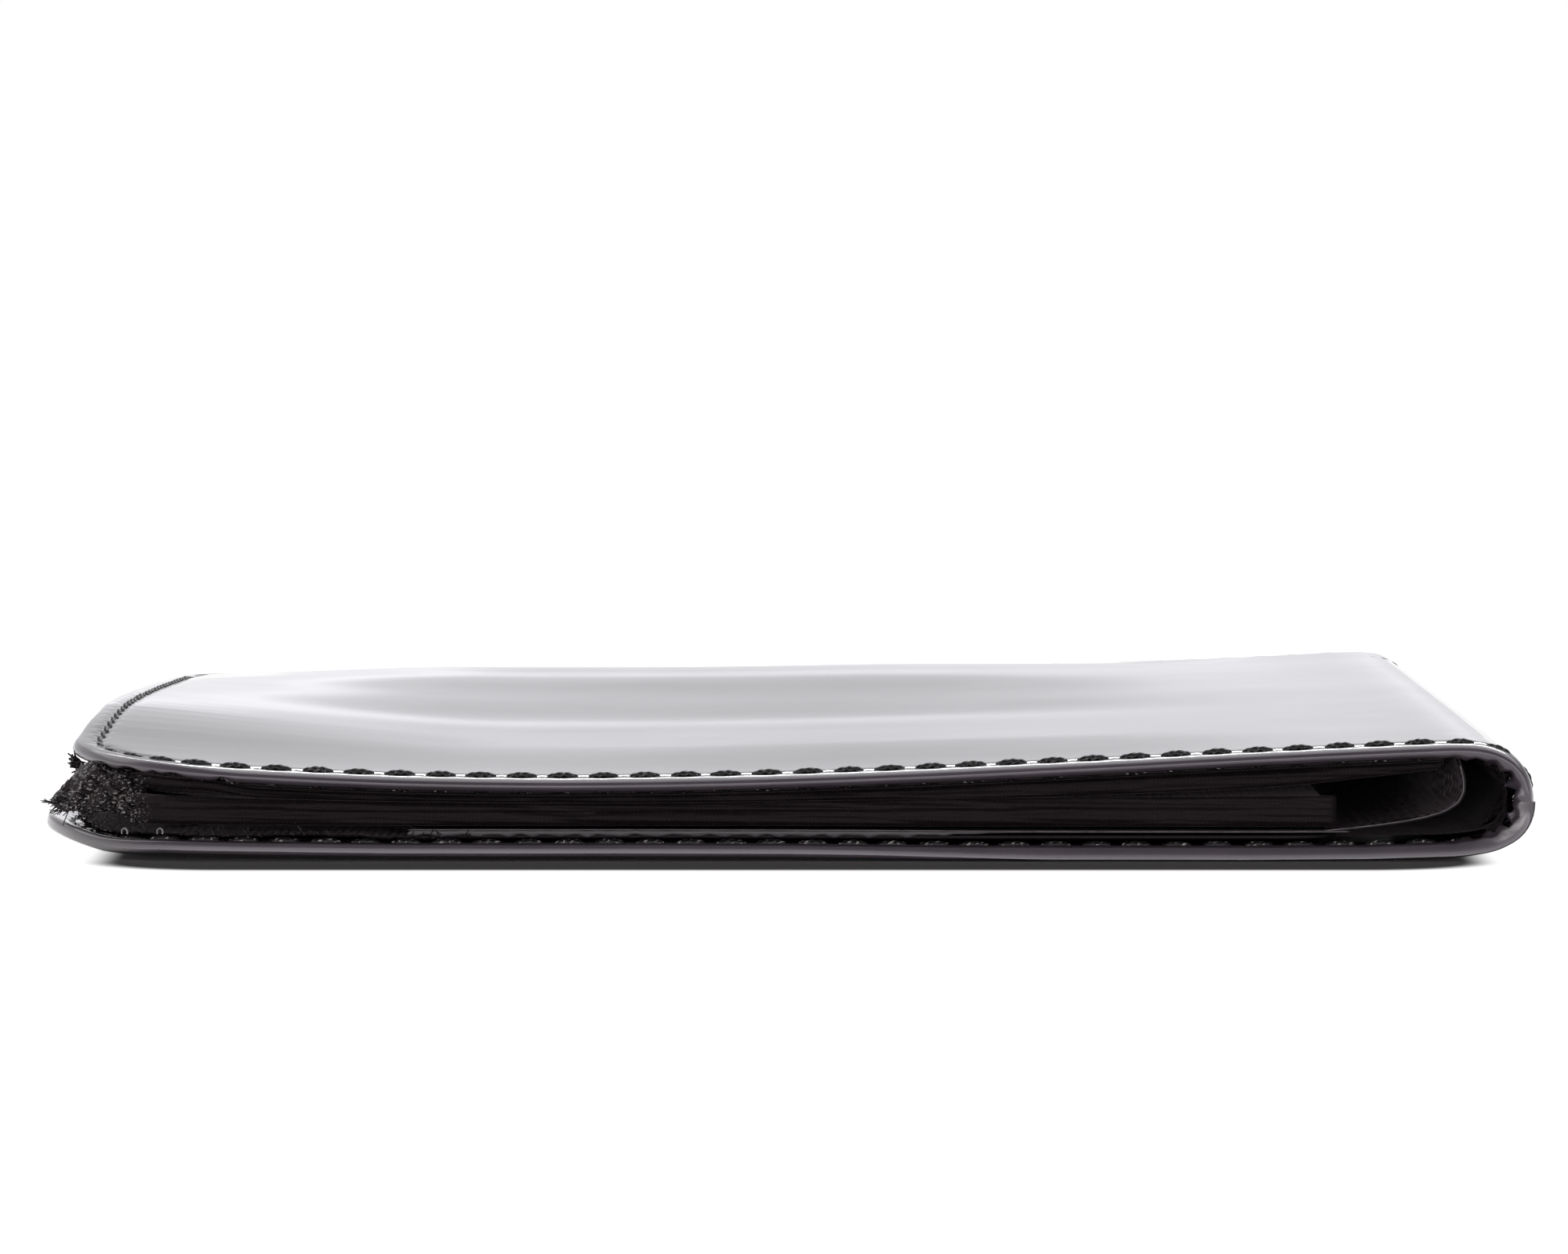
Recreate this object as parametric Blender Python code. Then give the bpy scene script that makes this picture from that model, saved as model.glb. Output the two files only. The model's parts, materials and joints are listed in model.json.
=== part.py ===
"""A black leather l-fold wallet: a tall bifold whose front half carries a leaf that turns like a page.

Metres, +Z up. The wallet lies folded on its back cover, as on a table. The origin is on the table,
under the middle of the wallet. +X runs from the open end to the spine, and +Y from the near edge,
where banknotes go in, to the far edge. The spine turns on the back cover, the front half on the
spine, and the leaf on the front half.
"""

import math

import bmesh
import bpy

MM = 0.001

# Overall sizes of the folded wallet
WIDTH = 97.4 * MM
DEPTH = 115.0 * MM
SPINE_BULGE = 4.6 * MM
SPINE_HEIGHT_NEAR = 7.8 * MM
SPINE_HEIGHT_FAR = 7.2 * MM
WAIST_HEIGHT = 5.5 * MM
WAIST_FROM_OPEN_END = 34.4 * MM
CORNER_RADIUS = 12.0 * MM

# How far the front half is lifted at its open end, and how far it stops short of the back half
OPEN_END_LIFT = 1.4 * MM
FRONT_SETBACK = 1.8 * MM

# Leather of the covers, turned in along three edges and glued down as a hem
COVER_LEATHER = 0.5 * MM
HEM_LEATHER = 0.5 * MM
HEM_WIDTH = 8.0 * MM
EDGE_ROUND = 0.28 * MM

# Sewing round the covers
THREAD = 0.45 * MM
STITCH_INSET = 1.7 * MM
STITCH_PITCH = 2.65 * MM
SHALLOW_GROOVE = 0.2 * MM
THREAD_CLEARANCE = 0.1 * MM

# Plies inside, each with its own thickness
LINING = 0.12 * MM
INTERLINING = 0.12 * MM
BACK_SLIP_LEATHER = 0.28 * MM
INNER_PANEL_LEATHER = 0.28 * MM
FRONT_SLIP_LEATHER = 0.28 * MM
CARD_FACE_LEATHER = 0.24 * MM
CARD_BACK_FABRIC = 0.08 * MM
LEAF_LEATHER = 0.28 * MM
WINDOW_FILM = 0.08 * MM
LEAF_BACK_LEATHER = 0.2 * MM
SPINE_STAY = 0.2 * MM

# Clearances
PLY_GAP = 0.05 * MM
SEAM_GAP = 0.1 * MM
LEAF_CLEARANCE = 0.25 * MM
POCKET_GROOVE = 0.2 * MM
EDGE_GAP = 0.2 * MM

# Where the inner plies stop
INNER_SETBACK = 6.2 * MM
INNER_MARGIN = 2.6 * MM
LEAF_CORNER = 3.0 * MM
INNER_PANEL_TO_SPINE = 0.9 * MM
FRONT_SLIP_TO_SPINE = 2.4 * MM
BACK_SLIP_TO_SPINE = 5.2 * MM
BACK_SLIP_MOUTH = 34.8 * MM

# The card pockets of the front half, their mouths stepped back from the near edge
CARD_POCKETS = 4
CARD_BLOCK_TO_SPINE = 8.7 * MM
CARD_STEP = 11.0 * MM
FRONT_SLIP_MOUTH = 5.0 * MM
CARD_LIFT_AT_OPEN_END = 0.55
CARD_LIFT_AT_SPINE = 0.12

# The leaf and its window for an upright card
LEAF_WIDTH = 60.8 * MM
WINDOW_WIDTH = 47.0 * MM
WINDOW_HEIGHT = 78.0 * MM
WINDOW_CORNER = 4.0 * MM
WINDOW_LAP = 3.5 * MM

# The strip that hinges the leaf: upright beside the spine, then bent under the card pockets
HINGE_LEATHER = 0.3 * MM
HINGE_TO_SPINE = 0.2 * MM
HINGE_UPRIGHT = 2.1 * MM
HINGE_BEND_LENGTH = 7.2 * MM

# How finely curved pieces are divided
STRAIGHT_STEPS = 10
COVER_CORNER_STEPS = 8
PLY_CORNER_STEPS = 4
ACROSS_STEPS = 5
SPINE_STEPS = 14
HINGE_STEPS = 10
SPINE_STAY_REACH = math.radians(42)

# Places worked out from the sizes
X_OPEN = -WIDTH / 2
X_SPINE = WIDTH / 2 - SPINE_BULGE
Y_NEAR = -DEPTH / 2
Y_FAR = DEPTH / 2
X_WAIST = X_OPEN + WAIST_FROM_OPEN_END
COVER_EDGE = COVER_LEATHER + HEM_LEATHER
GROOVE_WIDTH = THREAD + 3 * THREAD_CLEARANCE
FLUSH_GROOVE = THREAD + THREAD_CLEARANCE

# The fold's two axes stand one above the other, so that the open wallet lies flat
FOLD_REACH = math.pi / 8 * SPINE_HEIGHT_NEAR
X_FOLD = X_SPINE + FOLD_REACH
Z_LOWER_FOLD = SPINE_HEIGHT_NEAR / 2 - FOLD_REACH
Z_UPPER_FOLD = SPINE_HEIGHT_NEAR / 2 + FOLD_REACH
X_LEAF_AXIS = X_SPINE - HINGE_TO_SPINE - HINGE_LEATHER / 2
Z_LEAF_AXIS = SPINE_HEIGHT_NEAR - COVER_EDGE


def share_between(near, far, y):
    """A size that goes evenly from its near value to its far one."""
    part = (y - Y_NEAR) / DEPTH
    return near + (far - near) * part


def lift(x, y, at_open_end=1.0, at_spine=1.0):
    """How much higher a ply lies at x, y than at the waist, from the share that it takes at either end."""
    if x < X_WAIST:
        along = (X_WAIST - x) / (X_WAIST - X_OPEN - FRONT_SETBACK)
        near, far = OPEN_END_LIFT * along**2, 0.0
        return at_open_end * share_between(near, far, y)
    along = (x - X_WAIST) / (X_SPINE - X_WAIST)
    near = (SPINE_HEIGHT_NEAR - WAIST_HEIGHT) * along**2 * (2 - along)
    far = (SPINE_HEIGHT_FAR - WAIST_HEIGHT) * along**2
    return at_spine * share_between(near, far, y)


def back_level(x, y):
    return 0.0


def front_level(x, y):
    return lift(x, y)


def card_level(x, y):
    return lift(x, y, CARD_LIFT_AT_OPEN_END, CARD_LIFT_AT_SPINE)


def clear_scene():
    for obj in list(bpy.data.objects):
        bpy.data.objects.remove(obj, do_unlink=True)


def material(name, colour, roughness, metallic=0.0, alpha=1.0):
    made = bpy.data.materials.new(name)
    made.use_nodes = True
    shader = made.node_tree.nodes["Principled BSDF"]
    shader.inputs["Base Color"].default_value = (*colour, 1.0)
    shader.inputs["Roughness"].default_value = roughness
    shader.inputs["Metallic"].default_value = metallic
    shader.inputs["Alpha"].default_value = alpha
    made.diffuse_color = (*colour, 1.0)
    return made


def axis_empty(name, place, parent=None):
    """An empty on a joint's axis, which runs along Y. Its pieces hang on it."""
    made = bpy.data.objects.new(name, None)
    made.empty_display_size = 5 * MM
    bpy.context.collection.objects.link(made)
    made["place"] = place
    hang(made, parent)
    return made


def hang(obj, parent):
    """Places an object made in world coordinates under its body's empty."""
    own = obj.get("place") or (0.0, 0.0, 0.0)
    under = parent["place"] if parent else (0.0, 0.0, 0.0)
    obj.location = [a - b for a, b in zip(own, under)]
    obj.parent = parent


def finish_mesh(name, work, look, body, smooth_angle=35.0):
    """Turns a bmesh into a named object with its faces pointing out."""
    bmesh.ops.recalc_face_normals(work, faces=work.faces)
    mesh = bpy.data.meshes.new(name)
    work.to_mesh(mesh)
    work.free()
    mesh.shade_smooth()
    mesh.set_sharp_from_angle(angle=math.radians(smooth_angle))
    mesh.materials.append(look)
    made = bpy.data.objects.new(name, mesh)
    bpy.context.collection.objects.link(made)
    hang(made, body)
    return made


def cover_section(outer_groove):
    """A cover's edge as (inset, depth) points, from the outer face round the hem to the inner face.

    Depth is measured from the outer face. Both faces have a groove that the thread lies in.
    """
    before = STITCH_INSET - GROOVE_WIDTH / 2
    after = STITCH_INSET + GROOVE_WIDTH / 2
    corner = EDGE_ROUND * (1 - math.sqrt(0.5))
    inner = COVER_EDGE - SHALLOW_GROOVE
    return [
        (after, 0.0),
        (after, outer_groove),
        (before, outer_groove),
        (before, 0.0),
        (EDGE_ROUND, 0.0),
        (corner, corner),
        (0.0, EDGE_ROUND),
        (0.0, COVER_EDGE - EDGE_ROUND),
        (corner, COVER_EDGE - corner),
        (EDGE_ROUND, COVER_EDGE),
        (before, COVER_EDGE),
        (before, inner),
        (after, inner),
        (after, COVER_EDGE),
        (HEM_WIDTH, COVER_EDGE),
        (HEM_WIDTH, COVER_LEATHER),
    ]


class Outline:
    """A panel's plan, its corners rounded at the open end and square at the spine, or rounded at both."""

    def __init__(self, x_open, x_spine, y_near, y_far, corner, corner_steps=PLY_CORNER_STEPS):
        self.x_open, self.x_spine = x_open, x_spine
        self.y_near, self.y_far = y_near, y_far
        self.corner, self.corner_steps = corner, corner_steps
        self.round_at_spine = False

    def rungs(self):
        """(near point, far point) functions of the inset, from the spine to the open end."""
        found = []
        x_first, x_last = self.x_spine, self.x_open + self.corner
        turns = [math.pi / 2 * step / self.corner_steps for step in range(self.corner_steps + 1)]
        if self.round_at_spine:
            x_first -= self.corner
            found += [self.corner_rung(turn, x_first, 1) for turn in reversed(turns[1:])]
        for step in range(STRAIGHT_STEPS):
            found.append(self.straight_rung(x_first + (x_last - x_first) * step / STRAIGHT_STEPS))
        return found + [self.corner_rung(turn, x_last, -1) for turn in turns]

    def straight_rung(self, x):
        return lambda inset: ((x, self.y_near + inset), (x, self.y_far - inset))

    def corner_rung(self, turn, x_centre, way):
        """A rung through two corners' centres' x, turned from straight across towards way along X."""

        def rung(inset):
            radius = self.corner - inset
            x = x_centre + way * radius * math.sin(turn)
            drop = self.corner - radius * math.cos(turn)
            return (x, self.y_near + drop), (x, self.y_far - drop)

        return rung

    def row(self, inset):
        """Plan points of a row of sewing at one inset: along the near edge, the open end and the far edge."""
        pairs = [rung(inset) for rung in self.rungs()]
        return [near for near, _ in pairs] + [far for _, far in reversed(pairs)]


def loft(name, loops, look, body, side=None):
    """Joins loops of points into one closed body.

    The last loop is shut by one face, or by strips across it where side gives the points of each side.
    """
    work = bmesh.new()
    rings = [[work.verts.new(point) for point in loop] for loop in loops]
    for one, two in zip(rings, rings[1:]):
        for k in range(len(one)):
            after = (k + 1) % len(one)
            work.faces.new((one[k], one[after], two[after], two[k]))
    work.faces.new(rings[0])
    last = rings[-1]
    if side is None:
        work.faces.new(last)
    else:
        shut_across(work, last, side)
    return finish_mesh(name, work, look, body)


def shut_across(work, ring, side):
    """Shuts a loop made of a near side, points across one face, a far side and points across the other."""
    between = len(ring) // 2 - side
    near = ring[:side]
    far = ring[side + between : 2 * side + between][::-1]
    inner = ring[side : side + between]
    outer = ring[2 * side + between :]
    for k in range(side - 1):
        first = outer if k == 0 else []
        second = inner if k == side - 2 else []
        work.faces.new([near[k], near[k + 1], *second, far[k + 1], far[k], *first])


def points_across(one, two):
    """The plan points that divide the way from one to two, without its ends."""
    parts = [step / ACROSS_STEPS for step in range(1, ACROSS_STEPS)]
    return [tuple(a + (b - a) * part for a, b in zip(one, two)) for part in parts]


def panel(name, outline, section, height_at, look, body):
    """A flat piece. section gives (inset, depth) points, and height_at turns a depth at x, y into z."""
    first, last = section[0][1], section[-1][1]
    loops = []
    for rung in outline.rungs():
        near = [(rung(inset)[0], depth) for inset, depth in section]
        far = [(rung(inset)[1], depth) for inset, depth in reversed(section)]
        inner = [(place, last) for place in points_across(near[-1][0], far[0][0])]
        outer = [(place, first) for place in points_across(far[-1][0], near[0][0])]
        around = near + inner + far + outer
        loops.append([(x, y, height_at(x, y, depth)) for (x, y), depth in around])
    return loft(name, loops, look, body, side=len(section))


def ply(name, outline, bottom, thickness, level, look, body):
    """A plain sheet whose underside lies at bottom where the wallet is thinnest."""
    section = [(0.0, 0.0), (0.0, thickness)]
    return panel(name, outline, section, lambda x, y, up: bottom + up + level(x, y), look, body)


def spine_point(turn, y, depth):
    """A point of the spine at a turn from -90 to 90 degrees, at a depth under its outer face."""
    half = share_between(SPINE_HEIGHT_NEAR, SPINE_HEIGHT_FAR, y) / 2
    along, up = math.cos(turn), math.sin(turn)
    outward = (along / SPINE_BULGE, up / half)
    size = math.hypot(*outward)
    x = X_SPINE + SEAM_GAP / 2 + SPINE_BULGE * along - depth * outward[0] / size
    z = half + half * up - depth * outward[1] / size
    return x, y, z


def spine_turns(reach):
    return [reach * (2 * step / SPINE_STEPS - 1) for step in range(SPINE_STEPS + 1)]


def spine_groove(turn):
    """The outer groove's depth, which hides the thread under the wallet and lets it stand proud on top."""
    return FLUSH_GROOVE + (SHALLOW_GROOVE - FLUSH_GROOVE) * (1 + math.sin(turn)) / 2


def spine_shell(name, section_at, y_near, y_far, reach, look, body):
    """A piece bent round the spine, from the (inset, depth) points that section_at gives for each turn."""
    loops = []
    for turn in spine_turns(reach):
        section = section_at(turn)
        near = [spine_point(turn, y_near + inset, depth) for inset, depth in section]
        far = [spine_point(turn, y_far - inset, depth) for inset, depth in section]
        loops.append(near + far[::-1])
    return loft(name, loops, look, body)


def thread_run(name, points, look, body):
    """One run of thread, as a tube along its points."""
    curve = bpy.data.curves.new(name, "CURVE")
    curve.dimensions = "3D"
    curve.bevel_depth = THREAD / 2
    curve.bevel_resolution = 0
    curve.use_fill_caps = True
    spline = curve.splines.new("POLY")
    spline.points.add(len(points) - 1)
    for place, point in zip(spline.points, points):
        place.co = (*point, 1.0)
    curve.materials.append(look)
    made = bpy.data.objects.new(name, curve)
    bpy.context.collection.objects.link(made)
    hang(made, body)
    return made


def stitched(row, pitch, dip):
    """(x, y, drop) points of a row of stitches: the thread drops by dip into each hole."""
    lengths = [0.0]
    for one, two in zip(row, row[1:]):
        lengths.append(lengths[-1] + math.dist(one, two))
    halves = 2 * round(lengths[-1] / pitch)
    found = []
    segment = 0
    for half in range(halves + 1):
        along = lengths[-1] * half / halves
        while segment < len(row) - 2 and lengths[segment + 1] < along:
            segment += 1
        part = (along - lengths[segment]) / (lengths[segment + 1] - lengths[segment])
        one, two = row[segment], row[segment + 1]
        x = one[0] + (two[0] - one[0]) * part
        y = one[1] + (two[1] - one[1]) * part
        found.append((x, y, 0.0 if half % 2 else dip))
    return found


def thread_depth(groove):
    """Depth of a thread's middle when it lies in a groove of this depth."""
    return groove - THREAD_CLEARANCE - THREAD / 2


def build_back(looks):
    x_end = X_SPINE - SEAM_GAP / 2
    outline = Outline(X_OPEN, x_end, Y_NEAR, Y_FAR, CORNER_RADIUS, COVER_CORNER_STEPS)

    def up_from_table(x, y, depth):
        return depth + back_level(x, y)

    panel("back_cover", outline, cover_section(FLUSH_GROOVE), up_from_table, looks["leather"], None)

    row = outline.row(STITCH_INSET)
    under = thread_depth(FLUSH_GROOVE)
    over = COVER_EDGE - thread_depth(SHALLOW_GROOVE)
    for name, depth in (("back_needle_thread", under), ("back_bobbin_thread", over)):
        points = [(x, y, up_from_table(x, y, depth)) for x, y in row]
        thread_run(name, points, looks["thread"], None)

    inside = HEM_WIDTH + EDGE_GAP
    corner = CORNER_RADIUS - inside
    lined = Outline(X_OPEN + inside, x_end, Y_NEAR + inside, Y_FAR - inside, corner)
    level = COVER_LEATHER + PLY_GAP
    ply("back_interlining", lined, level, INTERLINING, back_level, looks["board"], None)
    level += INTERLINING + PLY_GAP
    ply("back_lining", lined, level, LINING, back_level, looks["lining"], None)
    level += LINING + PLY_GAP
    x_slip, x_slip_end = X_OPEN + inside, X_SPINE - BACK_SLIP_TO_SPINE
    slip = Outline(x_slip, x_slip_end, Y_NEAR + BACK_SLIP_MOUTH, Y_FAR - inside, corner)
    ply("back_slip_pocket", slip, level, BACK_SLIP_LEATHER, back_level, looks["panel"], None)


def build_spine(looks, body):
    half_turn = math.pi / 2

    def section_at(turn):
        return cover_section(spine_groove(turn))

    spine_shell("spine_cover", section_at, Y_NEAR, Y_FAR, half_turn, looks["leather"], body)

    inside = HEM_WIDTH + EDGE_GAP
    depth = COVER_LEATHER + PLY_GAP
    stay = [(0.0, depth), (0.0, depth + SPINE_STAY)]
    ends = (Y_NEAR + inside, Y_FAR - inside)
    spine_shell("spine_stay", lambda turn: stay, *ends, SPINE_STAY_REACH, looks["board"], body)
    depth += SPINE_STAY + PLY_GAP
    lining = [(0.0, depth), (0.0, depth + LINING)]
    spine_shell("spine_lining", lambda turn: lining, *ends, half_turn, looks["lining"], body)

    inner = COVER_EDGE - thread_depth(SHALLOW_GROOVE)
    for side, y in (("near", Y_NEAR + STITCH_INSET), ("far", Y_FAR - STITCH_INSET)):
        turns = spine_turns(half_turn)
        needle = [spine_point(turn, y, thread_depth(spine_groove(turn))) for turn in turns]
        bobbin = [spine_point(turn, y, inner) for turn in turns]
        thread_run(f"spine_needle_thread_{side}", needle, looks["thread"], body)
        thread_run(f"spine_bobbin_thread_{side}", bobbin, looks["thread"], body)


def build_front(looks, body):
    x_end = X_SPINE - SEAM_GAP / 2
    x_open = X_OPEN + FRONT_SETBACK
    outline = Outline(x_open, x_end, Y_NEAR, Y_FAR, CORNER_RADIUS, COVER_CORNER_STEPS)

    def down_from_top(x, y, depth):
        return WAIST_HEIGHT - depth + front_level(x, y)

    panel("front_cover", outline, cover_section(SHALLOW_GROOVE), down_from_top, looks["leather"], body)

    row = outline.row(STITCH_INSET)
    outer = thread_depth(SHALLOW_GROOVE)
    stitches = stitched(row, STITCH_PITCH, THREAD_CLEARANCE / 2)
    points = [(x, y, down_from_top(x, y, outer + drop - THREAD_CLEARANCE)) for x, y, drop in stitches]
    thread_run("front_needle_thread", points, looks["thread"], body)
    points = [(x, y, down_from_top(x, y, COVER_EDGE - outer)) for x, y in row]
    thread_run("front_bobbin_thread", points, looks["thread"], body)

    inside = HEM_WIDTH + EDGE_GAP
    corner = CORNER_RADIUS - inside
    lined = Outline(x_open + inside, x_end, Y_NEAR + inside, Y_FAR - inside, corner)
    depth = COVER_LEATHER + PLY_GAP + INTERLINING
    ply("front_interlining", lined, WAIST_HEIGHT - depth, INTERLINING, front_level, looks["board"], body)
    depth += PLY_GAP + LINING
    ply("front_lining", lined, WAIST_HEIGHT - depth, LINING, front_level, looks["lining"], body)

    x_inner = X_OPEN + INNER_SETBACK
    y_inner = Y_NEAR + INNER_MARGIN
    y_closed = Y_FAR - INNER_MARGIN
    corner = CORNER_RADIUS - INNER_MARGIN
    depth = COVER_EDGE + PLY_GAP + INNER_PANEL_LEATHER
    inner = Outline(x_inner, X_SPINE - INNER_PANEL_TO_SPINE, y_inner, y_closed, corner)
    level = WAIST_HEIGHT - depth
    ply("front_inner_panel", inner, level, INNER_PANEL_LEATHER, front_level, looks["panel"], body)

    level -= PLY_GAP + FRONT_SLIP_LEATHER
    slip = Outline(x_inner, X_SPINE - FRONT_SLIP_TO_SPINE, y_inner + FRONT_SLIP_MOUTH, y_closed, corner)
    ply("front_slip_pocket", slip, level, FRONT_SLIP_LEATHER, front_level, looks["panel"], body)

    level -= POCKET_GROOVE
    for number in range(1, CARD_POCKETS + 1):
        mouth = y_inner + CARD_STEP * (number - 1)
        pocket = Outline(x_inner, X_SPINE - CARD_BLOCK_TO_SPINE, mouth, y_closed, corner)
        level -= CARD_BACK_FABRIC
        ply(f"card_pocket_{number}_back", pocket, level, CARD_BACK_FABRIC, card_level, looks["lining"], body)
        level -= PLY_GAP + CARD_FACE_LEATHER
        ply(f"card_pocket_{number}_face", pocket, level, CARD_FACE_LEATHER, card_level, looks["panel"], body)
        level -= PLY_GAP


def hinge_line(y):
    """(x, z) points along the middle of the leaf's hinge strip at y, from its sewn top to the leaf."""
    z_top = share_between(SPINE_HEIGHT_NEAR, SPINE_HEIGHT_FAR, y) - COVER_EDGE - PLY_GAP
    z_bend = z_top - HINGE_UPRIGHT
    z_low = COVER_EDGE + LEAF_CLEARANCE + HINGE_LEATHER / 2
    found = [(X_LEAF_AXIS, z_top)]
    for step in range(HINGE_STEPS + 1):
        turn = math.pi / 2 * step / HINGE_STEPS
        x = X_LEAF_AXIS - HINGE_BEND_LENGTH * (1 - math.cos(turn))
        z = z_bend - (z_bend - z_low) * math.sin(turn)
        found.append((x, z))
    return found


def strip_sides(line, thickness):
    """The two faces of a strip of this thickness along a line of (x, z) points, as pairs of points."""
    found = []
    for k, (x, z) in enumerate(line):
        before, after = line[max(k - 1, 0)], line[min(k + 1, len(line) - 1)]
        size = math.dist(before, after)
        aside = (after[1] - before[1]) / size * thickness / 2
        up = (before[0] - after[0]) / size * thickness / 2
        found.append(((x - aside, z - up), (x + aside, z + up)))
    return found


def build_leaf(looks, body):
    y_near = Y_NEAR + INNER_MARGIN
    y_far = Y_FAR - INNER_MARGIN
    near = strip_sides(hinge_line(y_near), HINGE_LEATHER)
    far = strip_sides(hinge_line(y_far), HINGE_LEATHER)
    loops = []
    for one, two in zip(near, far):
        around = [(one[0], y_near), (one[1], y_near), (two[1], y_far), (two[0], y_far)]
        loops.append([(x, y, z) for (x, z), y in around])
    loft("leaf_hinge_strip", loops, looks["panel"], body)

    x_hinge = X_LEAF_AXIS - HINGE_BEND_LENGTH - SEAM_GAP
    x_free = x_hinge - LEAF_WIDTH
    outline = Outline(x_free, x_hinge, y_near, y_far, LEAF_CORNER)
    level = COVER_EDGE + LEAF_CLEARANCE
    frame = ply("leaf_frame", outline, level, LEAF_LEATHER, back_level, looks["panel"], body)
    x_middle, y_middle = (x_free + x_hinge) / 2, (y_near + y_far) / 2
    cut_window(frame, x_middle, y_middle, level + LEAF_LEATHER / 2)
    level += LEAF_LEATHER + PLY_GAP

    film_x, film_y = WINDOW_WIDTH / 2 + WINDOW_LAP, WINDOW_HEIGHT / 2 + WINDOW_LAP
    film = centred_outline(x_middle, y_middle, film_x, film_y)
    ply("leaf_window", film, level, WINDOW_FILM, back_level, looks["film"], body)
    level += WINDOW_FILM + PLY_GAP
    ply("leaf_back", outline, level, LEAF_BACK_LEATHER, back_level, looks["panel"], body)


def centred_outline(x, y, half_width, half_height):
    """The outline of the window or its film about a middle point, with four rounded corners."""
    made = Outline(x - half_width, x + half_width, y - half_height, y + half_height, WINDOW_CORNER)
    made.round_at_spine = True
    return made


def cut_window(frame, x, y, z):
    """Cuts the window through the leaf's frame with a round-cornered block."""
    outline = centred_outline(x, y, WINDOW_WIDTH / 2, WINDOW_HEIGHT / 2)
    reach = 4 * LEAF_LEATHER
    look = frame.data.materials[0]
    cutter = ply("window_cutter", outline, z - reach / 2, reach, back_level, look, frame.parent)
    cutter.hide_render = True
    cutter.display_type = "WIRE"
    cut = frame.modifiers.new("window", "BOOLEAN")
    cut.operation = "DIFFERENCE"
    cut.solver = "EXACT"
    cut.object = cutter


def main():
    clear_scene()
    looks = {
        "leather": material("glossy_leather", (0.012, 0.011, 0.013), 0.28),
        "panel": material("inner_leather", (0.016, 0.014, 0.016), 0.45),
        "lining": material("woven_lining", (0.010, 0.009, 0.011), 0.75),
        "thread": material("black_thread", (0.014, 0.013, 0.015), 0.55),
        "board": material("spine_board", (0.20, 0.17, 0.14), 0.85),
        "film": material("clear_film", (0.85, 0.87, 0.88), 0.12, alpha=0.35),
    }
    spine = axis_empty("spine_fold_axis", (X_FOLD, 0.0, Z_LOWER_FOLD))
    front = axis_empty("cover_fold_axis", (X_FOLD, 0.0, Z_UPPER_FOLD), spine)
    leaf = axis_empty("leaf_turn_axis", (X_LEAF_AXIS, 0.0, Z_LEAF_AXIS), front)
    build_back(looks)
    build_spine(looks, spine)
    build_front(looks, front)
    build_leaf(looks, leaf)


main()
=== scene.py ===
"""The looks of a folded black l-fold wallet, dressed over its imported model.

Sizes are in millimetres and become metres where a mesh is made. As in the model, +X runs from the
open end to the spine, +Y from the near edge to the far edge, and +Z up. A cover's leather is laid out
flat in u and y, where u is x up to the spine and then runs round it, and depth goes in from the face.
"""

import json
import math
from types import SimpleNamespace

import bmesh
import bpy
import numpy as np
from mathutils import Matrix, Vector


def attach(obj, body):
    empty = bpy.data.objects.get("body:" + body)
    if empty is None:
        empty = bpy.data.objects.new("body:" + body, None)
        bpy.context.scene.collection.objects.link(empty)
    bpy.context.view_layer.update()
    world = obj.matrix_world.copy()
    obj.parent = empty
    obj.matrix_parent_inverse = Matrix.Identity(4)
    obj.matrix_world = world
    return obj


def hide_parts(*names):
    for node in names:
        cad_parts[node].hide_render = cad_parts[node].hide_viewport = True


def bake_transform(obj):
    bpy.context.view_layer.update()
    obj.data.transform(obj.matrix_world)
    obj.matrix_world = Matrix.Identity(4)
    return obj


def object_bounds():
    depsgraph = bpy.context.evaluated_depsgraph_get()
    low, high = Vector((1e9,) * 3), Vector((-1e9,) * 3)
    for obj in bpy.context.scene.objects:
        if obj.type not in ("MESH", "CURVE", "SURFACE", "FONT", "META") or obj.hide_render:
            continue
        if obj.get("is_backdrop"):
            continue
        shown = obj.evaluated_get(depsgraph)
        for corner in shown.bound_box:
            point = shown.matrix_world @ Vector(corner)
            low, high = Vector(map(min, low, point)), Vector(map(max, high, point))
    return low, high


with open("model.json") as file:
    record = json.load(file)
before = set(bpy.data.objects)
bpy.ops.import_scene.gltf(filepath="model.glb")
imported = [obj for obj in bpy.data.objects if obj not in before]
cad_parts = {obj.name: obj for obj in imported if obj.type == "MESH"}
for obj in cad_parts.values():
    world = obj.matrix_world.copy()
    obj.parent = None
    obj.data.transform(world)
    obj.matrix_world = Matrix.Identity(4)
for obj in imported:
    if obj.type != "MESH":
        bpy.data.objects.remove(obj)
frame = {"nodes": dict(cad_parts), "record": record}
cad_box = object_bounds()

MM = 0.001
SEED = 7

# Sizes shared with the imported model
WIDTH = 97.4
DEPTH = 115.0
SPINE_BULGE = 4.6
SPINE_HEIGHT_NEAR = 7.8
SPINE_HEIGHT_FAR = 7.2
WAIST_HEIGHT = 5.5
WAIST_FROM_OPEN_END = 34.4
CORNER_RADIUS = 12.0
OPEN_END_LIFT = 1.4
FRONT_SETBACK = 1.8
COVER_LEATHER = 0.5
COVER_EDGE = 1.0
HEM_WIDTH = 8.0
THREAD = 0.45
STITCH_INSET = 1.7
STITCH_PITCH = 2.65

X_OPEN = -WIDTH / 2
X_SPINE = WIDTH / 2 - SPINE_BULGE
X_WAIST = X_OPEN + WAIST_FROM_OPEN_END
Y_NEAR = -DEPTH / 2
Y_FAR = DEPTH / 2

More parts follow.
